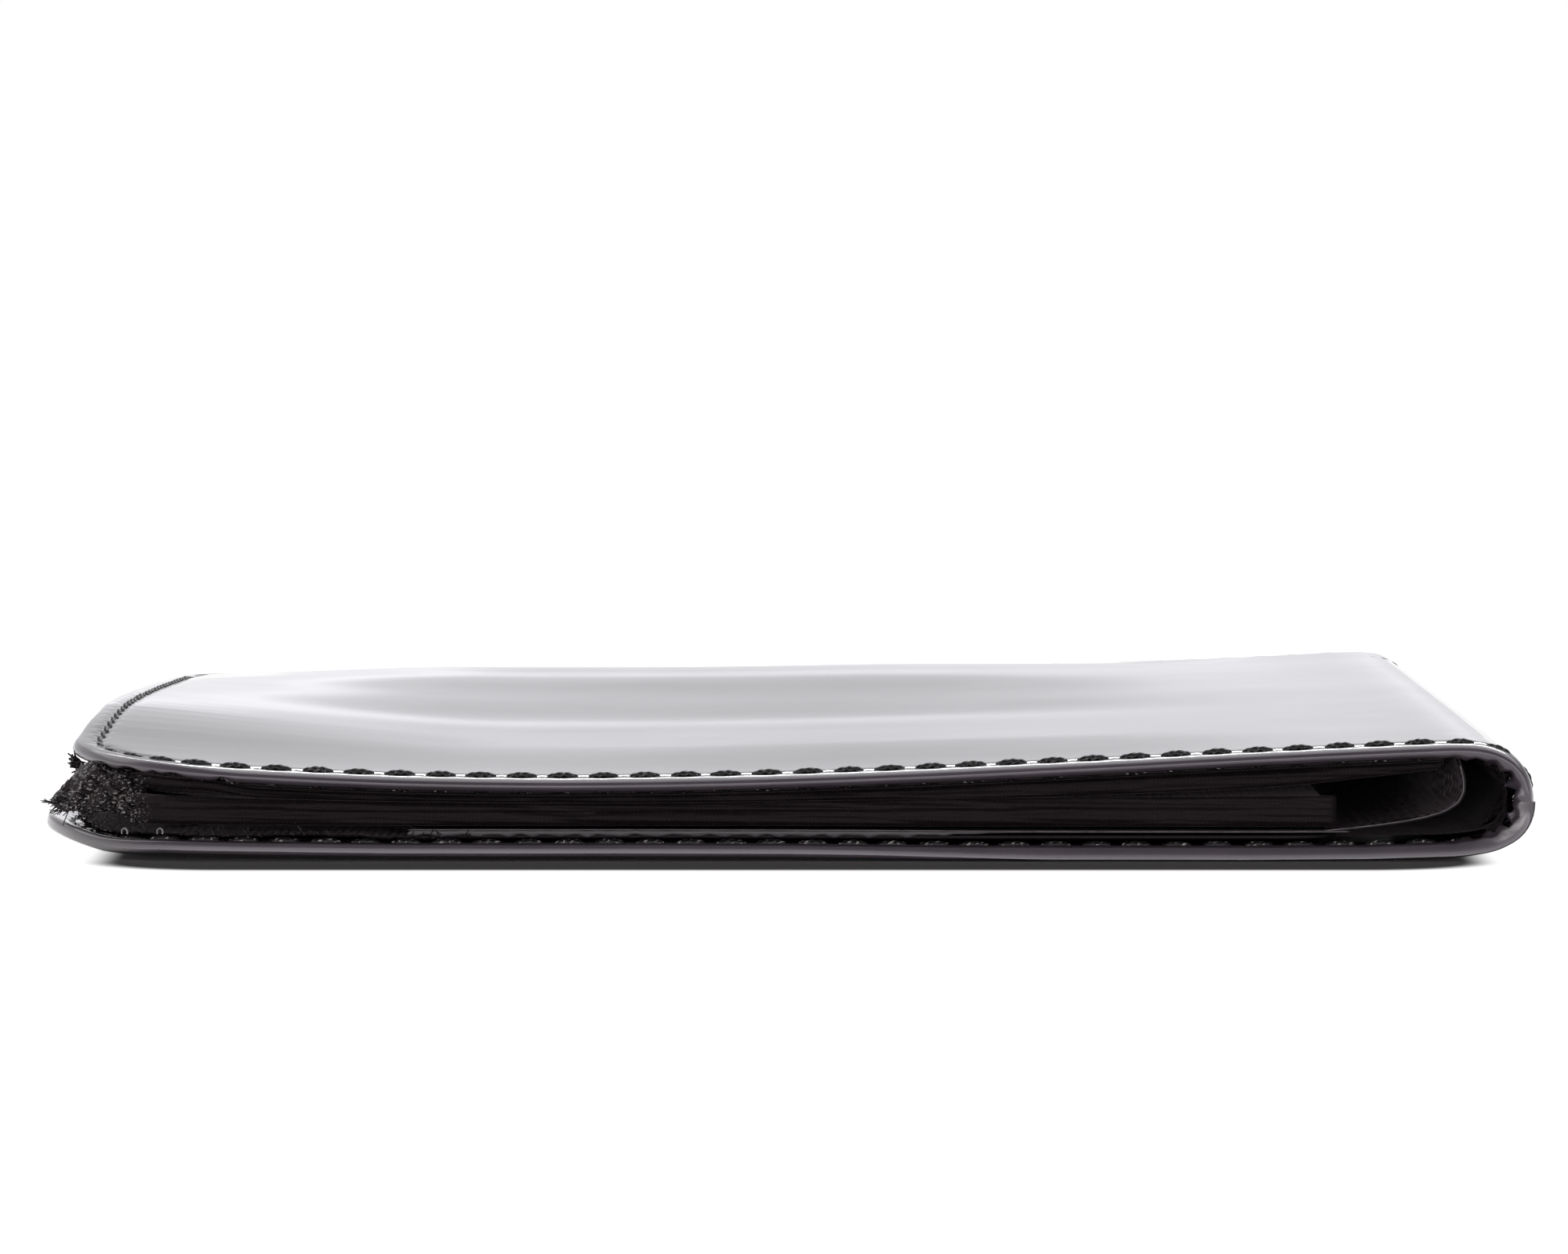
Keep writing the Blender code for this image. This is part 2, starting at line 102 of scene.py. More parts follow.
# The spine's round, its leather from its start to its middle, and where it bends when the wallet opens
SPINE_ROUND = 4.75
SPINE_FLARE = 0.25
SPINE_FLARE_DEPTH = 10.0
SPINE_POWER_NEAR = 2.5
SPINE_POWER_FAR = 5.6
SPINE_ARC = 6.8
U_MIDDLE = X_SPINE + SPINE_ARC
BEND_END = X_SPINE + 3.5

# Where along u the cover's shape is sampled and with what weight, which softens the start of the spine
SOFTENING = ((-1.6, 1), (-0.8, 2), (0.0, 3), (0.8, 2), (1.6, 1))

# How high the lower cover's near edge stands off the table at each x, and how far in that dies out
NEAR_RISE_X = (-49.0, -44.2, -40.1, -35.1, -25.0, -14.9, -9.9, 0.2, 10.3, 30.5, 38.0, 43.6, 45.5, 47.5, 50.7)
NEAR_RISE = (0.75, 0.32, 0.38, 0.3, 0.17, 0.16, 0.17, 0.13, 0.03, 0.0, 0.05, 0.22, 0.34, 0.33, 0.0)
NEAR_RISE_DEPTH = 25.0

# How far the lower cover's open end curls up, at its near and far edges
CURL_NEAR = 1.1
CURL_FAR = 0.44
CURL_LENGTH = 7.0

# The upper cover's fullness: at its middle, just inside its far edge and at that edge, and soft waves
NEAR_CROWN = 0.32
NEAR_CROWN_START = Y_NEAR + 2
NEAR_CROWN_DEPTH = 22.0
FAR_CROWN = 0.62
FAR_EDGE_RISE = 0.3
FAR_EDGE_START = Y_FAR - 1.5
FAR_EDGE_DEPTH = 8.5
OPEN_CROWN_Y = (-57.5, -50.0, -38.0, -31.0, -17.0, 3.0, 34.0, 50.0, 57.5)
OPEN_CROWN = (0.0, 0.25, 1.1, 1.7, 1.8, 1.5, 0.75, 0.2, 0.0)
OPEN_CROWN_LENGTH = 30.0
CROWN_GROWS_Y = (-10, 40)
RIPPLE = 0.03
RIPPLE_LENGTH = 25.0
RIPPLE_CREST = 7.0
RIPPLE_SLANT = 0.012
RIPPLE_STARTS_Y = (-22, -2)
RIPPLE_ENDS_Y = (46, 34)

rng = np.random.default_rng(SEED)


def share_between(near, far, y):
    return near + (far - near) * (y - Y_NEAR) / DEPTH


def ramp(value, start, end):
    """From 0 to 1 as value goes from start to end, with level ends."""
    held = np.clip((value - start) / (end - start), 0.0, 1.0)
    return held * held * (3 - 2 * held)


def hump(value, width):
    return np.exp(-((value / width) ** 2))


def bowed(values, power):
    """The values with their signs kept and their sizes raised to a power, which squares a round."""
    return np.sign(values) * np.abs(values) ** power


def smooth_curve(value, places, levels):
    """A curve through levels at these places, with its corners rounded off."""
    reach = 0.25 * (places[-1] - places[0]) / (len(places) - 1)
    offsets = (-2, -1, 0, 1, 2)
    return sum(np.interp(value + reach * k, places, levels) for k in offsets) / len(offsets)


def lift(x, y, at_open_end=1.0, at_spine=1.0):
    """How much higher a ply of the front half lies at x, y than at the waist."""
    to_open = np.maximum(X_WAIST - x, 0) / (X_WAIST - X_OPEN - FRONT_SETBACK)
    to_spine = np.maximum(x - X_WAIST, 0) / (X_SPINE - X_WAIST)
    opened = share_between(OPEN_END_LIFT * to_open**2, 0.0, y)
    near = (SPINE_HEIGHT_NEAR - WAIST_HEIGHT) * to_spine**2 * (2 - to_spine)
    far = (SPINE_HEIGHT_FAR - WAIST_HEIGHT) * to_spine**2
    return at_open_end * opened + at_spine * share_between(near, far, y)


def near_rise(x, y):
    """How high the lower cover stands off the table along its near edge."""
    return np.interp(x, NEAR_RISE_X, NEAR_RISE) * ramp(y, Y_NEAR + NEAR_RISE_DEPTH, Y_NEAR)


def crown(x, y):
    """How far the upper cover swells over what it holds, with a crest that hides its far sewing."""
    inward = ramp(y, NEAR_CROWN_START, NEAR_CROWN_START + NEAR_CROWN_DEPTH)
    crest = FAR_EDGE_RISE + FAR_CROWN * ramp(y, FAR_EDGE_START, FAR_EDGE_START - FAR_EDGE_DEPTH)
    rise = inward * (NEAR_CROWN + (crest - NEAR_CROWN) * ramp(y, *CROWN_GROWS_Y))
    wave = RIPPLE * np.cos(2 * math.pi * (y - RIPPLE_CREST) / RIPPLE_LENGTH + RIPPLE_SLANT * x)
    wave = wave * ramp(y, *RIPPLE_STARTS_Y) * ramp(y, *RIPPLE_ENDS_Y) * (1 - 0.6 * ramp(x, -10, 40))
    middle = ramp(x, X_OPEN + 1, X_OPEN + 26) * ramp(x, X_SPINE - 5, X_SPINE - 40)
    open_end = smooth_curve(y, OPEN_CROWN_Y, OPEN_CROWN) * ramp(x, X_OPEN + OPEN_CROWN_LENGTH, X_OPEN)
    return (rise + wave) * middle + open_end


def folded(u, y, depth, side):
    """The cover's leather folded round the spine: side is 1 on top and -1 below."""
    half = share_between(SPINE_HEIGHT_NEAR, SPINE_HEIGHT_FAR, y) / 2
    turn = math.pi / 2 * (1 - np.maximum(u - X_SPINE, 0) / SPINE_ARC)
    power = share_between(SPINE_POWER_NEAR, SPINE_POWER_FAR, y)
    out = SPINE_ROUND + SPINE_FLARE * ramp(y, Y_NEAR + SPINE_FLARE_DEPTH, Y_NEAR)
    along, up = np.abs(np.cos(turn)) / out, np.abs(np.sin(turn)) / half
    reach = (along**power + up**power) ** (-1 / power)
    face_x, face_z = (reach * along) ** (power - 1) / out, (reach * up) ** (power - 1) / half
    size = np.hypot(face_x, face_z)
    x_round = X_SPINE + reach * np.cos(turn) - depth * face_x / size
    z_round = half + side * (reach * np.sin(turn) - depth * np.sign(turn) * face_z / size)
    level = WAIST_HEIGHT + lift(u, y) if side > 0 else 0.0
    flat = u < X_SPINE
    return np.where(flat, u, x_round), np.where(flat, level - side * depth, z_round)


def cover_surface(side):
    """A function from u, y and depth to x, y and z for the upper or the lower half of the cover."""

    def surface(u, y, depth):
        u, y, depth = np.broadcast_arrays(u, y, depth)
        x, z, total = 0.0, 0.0, 0.0
        for offset, weight in SOFTENING:
            x_part, z_part = folded(u + offset, y, depth, side)
            x, z, total = x + weight * x_part, z + weight * z_part, total + weight
        x, z = x / total, z / total
        if side > 0:
            z = z + crown(u, y)
        else:
            curled = np.clip(1 - (u - X_OPEN) / CURL_LENGTH, 0, None) ** 2
            z = z + near_rise(u, y) + share_between(CURL_NEAR, CURL_FAR, y) * curled
        return np.stack([x, y, z], -1)

    return surface


class Border:
    """The way round a panel from its spine end along the near edge, the open end and the far edge.

    Distances along it are measured on a line that lies line inside the edge.
    """

    def __init__(self, u_open, u_end, y_near, y_far, corner, line=0.0):
        self.u_end, self.y_near, self.y_far, self.corner = u_end, y_near, y_far, corner
        self.turning = corner - line
        self.straight = u_end - u_open - corner
        self.to_open = self.straight + self.turning * math.pi / 2
        self.length = 2 * self.to_open + y_far - y_near - 2 * corner

    def from_spine(self, along):
        return np.minimum(along, self.length - along)

    def place(self, along, inset):
        """u and y at a distance along the border and an inset from the edge."""
        near_side = self.from_spine(along)
        turn = np.clip((near_side - self.straight) / self.turning, 0, math.pi / 2)
        past = np.maximum(near_side - self.to_open, 0)
        radius = self.corner - inset
        u = self.u_end - np.minimum(near_side, self.straight) - radius * np.sin(turn)
        t = self.corner - radius * np.cos(turn) + past
        return u, np.where(along > self.length / 2, self.y_far - t, self.y_near + t)


def add_object(name, data):
    made = bpy.data.objects.new(name, data)
    bpy.context.collection.objects.link(made)
    return made


def link(name, verts, faces, look, smooth_angle=60.0):
    """A closed mesh from points in millimetres, with its faces turned outward."""
    mesh = bpy.data.meshes.new(name)
    mesh.from_pydata((np.asarray(verts) * MM).tolist(), [], faces)
    work = bmesh.new()
    work.from_mesh(mesh)
    bmesh.ops.recalc_face_normals(work, faces=work.faces)
    work.to_mesh(mesh)
    work.free()
    mesh.shade_smooth()
    mesh.set_sharp_from_angle(angle=math.radians(smooth_angle))
    mesh.materials.append(look)
    return add_object(name, mesh)


def add_values(piece, name, values):
    """Gives the piece's first points these values, under a name that its look reads."""
    held = np.zeros(len(piece.data.vertices))
    held[: values.size] = values.ravel()
    piece.data.attributes.new(name, "FLOAT", "POINT").data.foreach_set("value", held)


def skin(rings, sides, base=0, closed=False):
    """The faces of a tube through rings of sides points each, capped unless it closes on itself."""
    faces = []
    for i in range(rings if closed else rings - 1):
        one, two = base + i * sides, base + (i + 1) % rings * sides
        for k in range(sides):
            after = (k + 1) % sides
            faces.append((one + k, one + after, two + after, two + k))
    if not closed:
        last = base + (rings - 1) * sides
        faces += [tuple(range(base, base + sides)), tuple(range(last, last + sides))]
    return faces


def tubes(name, shapes, look, smooth_angle=60.0):
    """One mesh of closed tubes, each rings of points."""
    faces, verts = [], []
    for rings in shapes:
        faces += skin(len(rings), len(rings[0]), len(verts))
        verts += [point for ring in rings for point in ring]
    return link(name, verts, faces, look, smooth_angle)


def quads(ids):
    """The faces of a grid of point numbers."""
    return np.stack([ids[:-1, :-1], ids[:-1, 1:], ids[1:, 1:], ids[1:, :-1]], -1).reshape(-1, 4).tolist()


def fill(ring, last, across):
    """Spreads a ring's values over the rows of a grid, whose row of this number lies at the open end."""
    part = np.linspace(0, 1, across + 1)[None, :]
    rows = ring[: last + 1, None] * (1 - part) + ring[::-1][: last + 1, None] * part
    rows[last] = ring[last : last + across + 1]
    return rows


def panel(name, border, steps, section, surface, look, relief=None, ring_inset=9.6):
    """A panel: a fine band round its border, as (inset, depth) points, and a plain grid on each face.

    steps, a multiple of 3, is how many pieces the border is cut into. relief adds to the band's depth.
    """
    along = np.linspace(0, border.length, steps + 1)[:, None]
    inset, depth = (np.array(row) + np.zeros_like(along) for row in zip(*section))
    if relief is not None:
        inset, depth = relief(along, inset, depth)
    band = surface(*border.place(along, inset), depth)
    ids = np.arange(band.shape[0] * band.shape[1]).reshape(band.shape[:2])
    verts, faces = [band.reshape(-1, 3)], quads(ids)

    coarse_along = along[::3, 0]
    coarse = len(coarse_along) - 1
    last = int(np.searchsorted(coarse_along, border.to_open, side="right")) - 1
    across = coarse - 2 * last
    u, y = (fill(ring, last, across) for ring in border.place(coarse_along, ring_inset))
    spine_rows = []
    for end in (0, -1):
        grid = surface(u, y, np.full_like(u, section[end][1])).reshape(-1, 3)
        rows = sum(len(part) for part in verts) + np.arange(len(grid)).reshape(u.shape)
        verts.append(grid)
        faces += quads(rows)
        ring = [*rows[:last, 0], *rows[last], *rows[:last, -1][::-1]]
        faces += [(*ids[3 * k : 3 * k + 4, end], ring[k + 1], ring[k]) for k in range(coarse)]
        spine_rows.append(rows[0])
    faces += quads(np.array(spine_rows))
    outer, inner = spine_rows
    for edge, k in ((ids[0], 0), (ids[-1], -1)):
        faces += [edge, (edge[0], outer[k], inner[k], edge[-1])]
    faces = [tuple(int(v) for v in face) for face in faces]
    made = link(name, np.concatenate(verts), faces, look)
    # The rim value greys a cover's rim: partly real rubbing and partly a painted reflection of the bright
    # floor
    add_values(made, "rim", np.tile(rim_share(*np.array(section).T), steps + 1))
    return made


def rim_share(inset, depth):
    """How much of a point of a cover's section belongs to its rim, greyed partly by real rubbing and partly
    as a painted reflection.
    """
    return ramp(depth, 0.12, 0.27) * ramp(inset, 1.8, 1.2)


def rounding(reach, drop, power, steps):
    """(inset, depth) points of a rounded edge from its face out to its rim."""
    turns = np.linspace(0, math.pi / 2, steps + 1)
    return [
        (reach * (1 - math.sin(turn) ** (2 / power)), drop * (1 - math.cos(turn) ** (2 / power)))
        for turn in turns
    ]


# Materials


class Nodes:
    """A tree of shader nodes. Colours are given as red, green and blue."""

    def __init__(self, tree):
        self.tree = tree

    def put(self, socket, value):
        if isinstance(value, bpy.types.NodeSocket):
            self.tree.links.new(value, socket)
        else:
            socket.default_value = (*value, 1) if socket.type == "RGBA" else value

    def node(self, kind, links=(), **values):
        """A new node. values are its properties, or its inputs by name with spaces for underscores."""
        made = self.tree.nodes.new("ShaderNode" + kind)
        for name, value in values.items():
            if hasattr(made, name):
                setattr(made, name, value)
            else:
                self.put(made.inputs[name.replace("_", " ")], value)
        for place, value in links:
            self.put(made.inputs[place], value)
        return made

    def math(self, operation, one, two=0.0):
        return self.node("Math", [(0, one), (1, two)], operation=operation).outputs[0]

    def times(self, one, two):
        return self.math("MULTIPLY", one, two)

    def plus(self, one, two):
        return self.math("ADD", one, two)

    def vector(self, operation, one, two=(0, 0, 0), output=0):
        return self.node("VectorMath", [(0, one), (1, two)], operation=operation).outputs[output]

    def place(self, kind="Object"):
        return self.node("TexCoord").outputs[kind]

    def parts(self, vector):
        return self.node("SeparateXYZ", [(0, vector)]).outputs

    def span(self, value, low, high, to_low, to_high, kind="LINEAR"):
        """Takes a value from between low and high to between to_low and to_high."""
        links = [("Value", value), (1, low), (2, high), (3, to_low), (4, to_high)]
        return self.node("MapRange", links, interpolation_type=kind).outputs[0]

    def fade(self, *values):
        """A span with level ends."""
        return self.span(*values, kind="SMOOTHSTEP")

    def along_x(self, start, end, to_start, to_end):
        """A value that fades from one to the other as x goes from start to end in millimetres."""
        return self.fade(self.parts(self.place())[0], start * MM, end * MM, to_start, to_end)

    def texture(self, kind, scale, output, stretch=(1, 1, 1), **values):
        """A texture in the piece's own coordinates, scale features to a millimetre."""
        mapped = self.node("Mapping", [("Vector", self.place()), ("Scale", stretch)]).outputs[0]
        return self.node(kind, [("Vector", mapped), ("Scale", scale / MM)], **values).outputs[output]

    def noise(self, scale, detail, stretch=(1, 1, 1), output="Fac", **values):
        return self.texture("TexNoise", scale, output, stretch, Detail=detail, **values)

    def pores(self, scale):
        return self.texture("TexVoronoi", scale, "Distance", feature="F1")

    def attribute(self, name):
        return self.node("Attribute", attribute_name=name).outputs["Fac"]

    def mix(self, factor, one, two):
        return self.node("Mix", [(0, factor), (6, one), (7, two)], data_type="RGBA").outputs[2]


class Look(Nodes):
    """A material, whose shader's inputs are set by name with spaces for underscores."""

    def __init__(self, name, **inputs):
        self.material = bpy.data.materials.new(name)
        self.material.use_nodes = True
        super().__init__(self.material.node_tree)
        self.shader = self.tree.nodes["Principled BSDF"]
        self.set(**inputs)

    def set(self, **inputs):
        for name, value in inputs.items():
            self.put(self.shader.inputs[name.replace("_", " ")], value)

    def bump(self, height, distance):
        """Adds a bump of this height over whatever bump the shader already has."""
        made = self.node("Bump", Strength=1.0, Distance=distance * MM, Height=height)
        before = self.shader.inputs["Normal"].links
        if before:
            self.put(made.inputs["Normal"], before[0].from_socket)
        self.set(Normal=made.outputs[0])


def glossy_leather():
    """Black and glossy; its rim greyer with rubbing and a painted reflection, paler at the open end with
    painted light, and a painted highlight inside the spine.
    """
    look = Look("glossy_leather", Coat_Weight=1.0, Coat_Roughness=0.05, Coat_IOR=1.5)
    wear = look.noise(0.05, 4.0)
    rim_mottle = look.span(look.noise(0.9, 6.0, (0.25, 0.25, 1)), 0.3, 0.7, 0.6, 1.0)
    # Greyer on the rim: partly real rubbing and partly a painted reflection of the bright floor in front
    rubbed_and_painted_reflection = look.times(look.attribute("rim"), rim_mottle)
    # Paler towards the open end: painted light, standing in for the white floor lighting the curled tip
    rim = look.mix(look.along_x(-40.0, -47.0, 0.0, 1.0), (0.15, 0.12, 0.148), (0.62, 0.58, 0.6))
    colour = look.mix(wear, (0.008, 0.0075, 0.009), (0.017, 0.015, 0.017))
    colour = look.mix(rubbed_and_painted_reflection, colour, rim)
    # A pale painted highlight along the hem's edge inside the spine
    colour = look.mix(look.attribute("painted_highlight"), colour, (0.85, 0.81, 0.83))
    rough = look.plus(look.span(wear, 0.35, 0.65, 0.12, 0.22), look.times(rubbed_and_painted_reflection, 0.2))
    look.set(Specular_Tint=(1.0, 0.94, 0.99), Base_Color=colour, Roughness=rough)
    look.bump(look.pores(2.6), 0.004)
    look.bump(look.noise(1.5, 3.0, Roughness=0.6), 0.006)
    return look.material


def satin_leather():
    look = Look("satin_leather", Specular_IOR_Level=0.3, Specular_Tint=(1.0, 0.9, 0.95))
    wear = look.noise(0.3, 5.0)
    look.set(Base_Color=look.mix(wear, (0.009, 0.008, 0.009), (0.02, 0.017, 0.019)))
    look.set(Roughness=look.span(wear, 0.3, 0.7, 0.5, 0.56))
    look.bump(look.pores(2.2), 0.02)
    return look.material


def woven_cloth(name, light, dark, pitch, depth, roughness=0.7, specular=0.35, glints=None, shade=None):
    """A plain weave that shows from every side, its threads a pitch apart.

    glints are painted highlights, pale specks for the glints of glossy fibres: the x where they are full
    and where they have died out, and how many come to a millimetre. shade is painted shade: the x where
    the cloth is darkest and where it is full, and the share of its tone that is left at its darkest.
    """
    tint = (1.0, 0.84, 0.91)
    look = Look(name, Specular_IOR_Level=specular, Sheen_Weight=0.15, Sheen_Roughness=0.4)
    look.set(Specular_Tint=tint, Sheen_Tint=tint, Roughness=roughness)
    wobble = look.noise(0.4, 2.0, output="Color")
    push = look.node("VectorMath", [(0, wobble), (3, 0.5 * MM)], operation="SCALE").outputs[0]
    parts = look.parts(look.vector("ADD", look.place(), push))
    waves = [look.math("SINE", look.times(part, math.pi / pitch / MM)) for part in parts]
    pairs = [look.times(waves[a], waves[b]) for a, b in ((0, 1), (1, 2), (2, 0))]
    weave = look.plus(look.plus(pairs[0], pairs[1]), pairs[2])
    mottle = look.span(look.noise(1.3, 4.0, Roughness=0.65), 0.35, 0.65, 0.2, 1.3)
    share = look.times(look.span(weave, -1.0, 1.2, 0.0, 1.0), mottle)
    colour = look.mix(share, dark, light)
    if glints:
        x_full, x_none, scale = glints
        # Painted glints: pale specks that stand in for highlights on glossy fibres
        painted_glint_specks = look.fade(look.noise(scale, 3.0, (1, 1, 1.6)), 0.565, 0.615, 0.0, 0.95)
        painted_glint_specks = look.times(painted_glint_specks, look.along_x(x_full, x_none, 1.0, 0.0))
        colour = look.mix(painted_glint_specks, colour, (0.92, 0.88, 0.85))
    if shade:
        x_dark, x_full, least = shade
        # Painted shade: darker, with less specular and sheen, towards x_dark
        left = look.along_x(x_dark, x_full, least, 1.0)
        colour = look.mix(left, (0.001, 0.0008, 0.0009), colour)
        look.set(Specular_IOR_Level=look.times(left, specular))
        look.set(Sheen_Weight=look.times(left, 0.15))
    look.set(Base_Color=colour)
    look.bump(share, depth)
    return look.material


def twisted_thread(name, glint):
    """Twisted thread with painted shade in its grooves, a painted highlight on its crests, and painted
    glints of this colour on its strands.
    """
    look = Look(name, Specular_IOR_Level=0.42, Sheen_Weight=0.05)
    fibres = look.noise(6.0, 3.0)
    # Painted shade in the grooves and a painted highlight on the crests, read from the strand value
    crest = look.fade(look.attribute("strand"), 0.45, 0.95, 0.0, 1.0)
    colour = look.mix(crest, (0.0015, 0.0012, 0.0015), (0.014, 0.0115, 0.013))
    # Painted glints on the crests
    glints = look.fade(look.noise(3.6, 1.0, (1, 0.8, 1.5)), 0.55, 0.64, 0.0, 0.8)
    look.set(Base_Color=look.mix(look.times(glints, crest), colour, glint))
    look.set(Roughness=look.span(fibres, 0.3, 0.7, 0.28, 0.5))
    look.bump(fibres, 0.03)
    return look.material


def pressed_board():
    look = Look("pressed_board", Roughness=0.9)
    fibres = look.noise(1.2, 6.0, (1, 0.3, 1))
    look.set(Base_Color=look.mix(fibres, (0.13, 0.11, 0.09), (0.26, 0.22, 0.18)))
    look.bump(fibres, 0.04)
    return look.material


def clear_film():
    look = Look("clear_film", Transmission_Weight=0.85, IOR=1.46, Alpha=0.5)
    haze = look.noise(0.06, 5.0)
    look.set(Base_Color=look.mix(haze, (0.86, 0.88, 0.89), (0.78, 0.80, 0.81)))
    look.set(Roughness=look.span(haze, 0.3, 0.7, 0.06, 0.16))
    look.bump(haze, 0.05)
    return look.material


def raw_edge(name, light, dark, roughness):
    """The pale fibrous cut edge of thin leather."""
    look = Look(name, Coat_Weight=0.4, Coat_Roughness=0.2, Roughness=roughness)
    fibres = look.noise(2.5, 5.0, (0.4, 1, 3))
    look.set(Base_Color=look.mix(look.span(fibres, 0.3, 0.7, 0, 1), dark, light))
    look.bump(fibres, 0.03)
    return look.material


SOOT = (0.003, 0.0024, 0.0027)
DARK = (0.004, 0.0035, 0.004)

leather = glossy_leather()
inner_leather = satin_leather()
board = pressed_board()
film = clear_film()
# Both threads carry painted glints; the inner one's are brighter, painted light for the dim inside of the
# wallet
thread = twisted_thread("waxed_thread", (0.3, 0.275, 0.285))
thread_bright_painted_glints = twisted_thread("thread_bright_painted_glints", (0.95, 0.88, 0.86))
cut_edge = raw_edge("cut_edge", (0.44, 0.38, 0.41), (0.2, 0.17, 0.185), 0.4)
# The thread loops are pale: a painted highlight standing in for glints of the black bobbin thread
painted_glint_loops = raw_edge("loop_thread", (0.85, 0.82, 0.82), (0.4, 0.38, 0.38), 0.35)
dull_edge = raw_edge("dull_edge", (0.085, 0.072, 0.08), (0.03, 0.026, 0.029), 0.45)
cloth = woven_cloth("woven_lining", (0.016, 0.014, 0.015), DARK, 0.26, 0.03)
tuft_look = woven_cloth("tuft", (0.03, 0.027, 0.028), (0.003, 0.0027, 0.003), 0.34, 0.03)
# Loose yarns are pale so that their ends seem to catch light: a painted highlight
painted_glint_yarn = woven_cloth("loose_yarn", (0.17, 0.155, 0.15), DARK, 0.34, 0.03, 0.5)
# Pale for a face that gets little light, which is painted light, and darker inwards from the spine with
# painted shade
strip_cloth_painted_light_and_shade = woven_cloth(
    "strip_cloth_painted_light_and_shade", (0.17, 0.145, 0.16), (0.006, 0.005, 0.006), 0.34, 0.08, shade=(39.5, 44.3, 0.35)
)
# The bound, frayed and crept cloths carry painted glints towards the open end
bound_cloth = woven_cloth(
    "bound_cloth", (0.013, 0.0092, 0.0108), (0.002, 0.0014, 0.0017), 0.13, 0.015,
    roughness=0.6, specular=0.22, glints=(-43.5, -40.8, 5.5),
)
frayed_cloth = woven_cloth(
    "frayed_cloth", (0.036, 0.03, 0.032), SOOT, 0.3, 0.06, roughness=0.42, glints=(-42.0, -32.0, 3.5)
)
crept_cloth = woven_cloth(
    "crept_cloth", (0.014, 0.012, 0.013), SOOT, 0.26, 0.06,
    roughness=0.75, specular=0.12, glints=(-46.5, -42.5, 4.5),
)


# Covers

# What differs between the halves: the body it belongs to, where it ends, how many steps a stitch gets,
# how its outer edge is rounded, how deep its outer row lies, how much that row dents it, where its needle
# thread lies and how finely that is made
UPPER = SimpleNamespace(
    name="upper", body="front", side=1, u_open=X_OPEN + FRONT_SETBACK, steps=9,
    edge_reach=1.7, edge_power=2.05, seat=0.1, dents=1.0, needle_depth=0.1, needle_detail=(18, 15),
)
LOWER = SimpleNamespace(
    name="lower", body="back", side=-1, u_open=X_OPEN, steps=6,
    edge_reach=0.9, edge_power=3.4, seat=0.26, dents=0.2, needle_depth=0.58, needle_detail=(12, 9),
)

# Puckers of the upper hem, as distances past the start of the near corner and widths
PLEATS = ((1.2, 0.3), (4.15, 0.55), (5.4, 0.35), (7.3, 0.75), (9.6, 0.4))
PLEAT_SHARE = 0.85

# The rim's rounding, how much fuller it is round the open end, and its slow waves
EDGE_DROP = 0.62
RIM_FULLNESS = 0.6
RIM_WAVE = 0.02
RIM_WAVE_LENGTHS = (1.9, 3.1, 5.3, 9.0)

# How the lower rim leans back towards its top at the open end and at the spine, where it changes from
# one to the other, and how it rolls under
RIM_LEAN = (0.17, 0.27)
RIM_LEAN_X = (2, 18)
RIM_ROLL = 0.2
RIM_SQUARE = 0.8

# The hem's wrinkles inside the spine
SPINE_WRINKLE = 0.34
SPINE_WRINKLE_LENGTH = 10.5

# The dents of the sewing: a pit at each hole, and a dip between holes
STITCH_PIT = 0.17
STITCH_DIP = 0.075

# A stitch: its length as a share of the pitch, its slant, the lead of its twist and its groove's share of
# its thickness, how far its ends sink, and how much thinner it is round the open end
STITCH_LENGTH = 0.82
STITCH_SLANT = 0.34
TWIST_LEAD = 1.7
STRAND_GROOVE = 0.36
STITCH_SINK = 0.2
STITCH_THINNING = 0.5

# How much deeper the sewing is drawn in towards the far edge, at the near corner and in the spine
TIGHT_Y = (30, 50)
TIGHT_AT_FAR_EDGE = 0.42
TIGHT_AT_CORNER = 0.2
TIGHT_IN_SPINE = 0.16

# Where a pale highlight is painted on the hem's edge inside the spine, from the spine's middle, and how deep
# in the edge
PAINTED_HIGHLIGHT_PLACE = 2.4
PAINTED_HIGHLIGHT_LENGTH = 1.7
PAINTED_HIGHLIGHT_DEPTH = 0.73
PAINTED_HIGHLIGHT_WIDTH = 0.15
PAINTED_HIGHLIGHT_WAVE = 0.07


def tightness(border, along, inset):
    """From 0 to 1 towards the far edge, where the sewing lies deeper."""
    return ramp(border.place(along, inset)[1], *TIGHT_Y)


def past_corner(border, along, start, end):
    """From 0 to 1 between two distances past the start of a border's corner."""
    return ramp(border.from_spine(along) - border.straight, start, end)


def lean_back(border, along, inset, depth, faces_out):
    """The lower rim's face leans back, at its top towards the open end and low down towards the spine."""
    right = ramp(border.place(along, inset)[0], *RIM_LEAN_X)
    square = RIM_SQUARE * right * ramp(depth, 0, 0.05) * faces_out
    back = RIM_LEAN[0] + (RIM_LEAN[1] - RIM_LEAN[0]) * right
    shift = back * depth + RIM_ROLL * right * np.maximum(depth - 0.55, 0)
    return inset * (1 - square) + shift * ramp(inset, 0.95, 0.65)


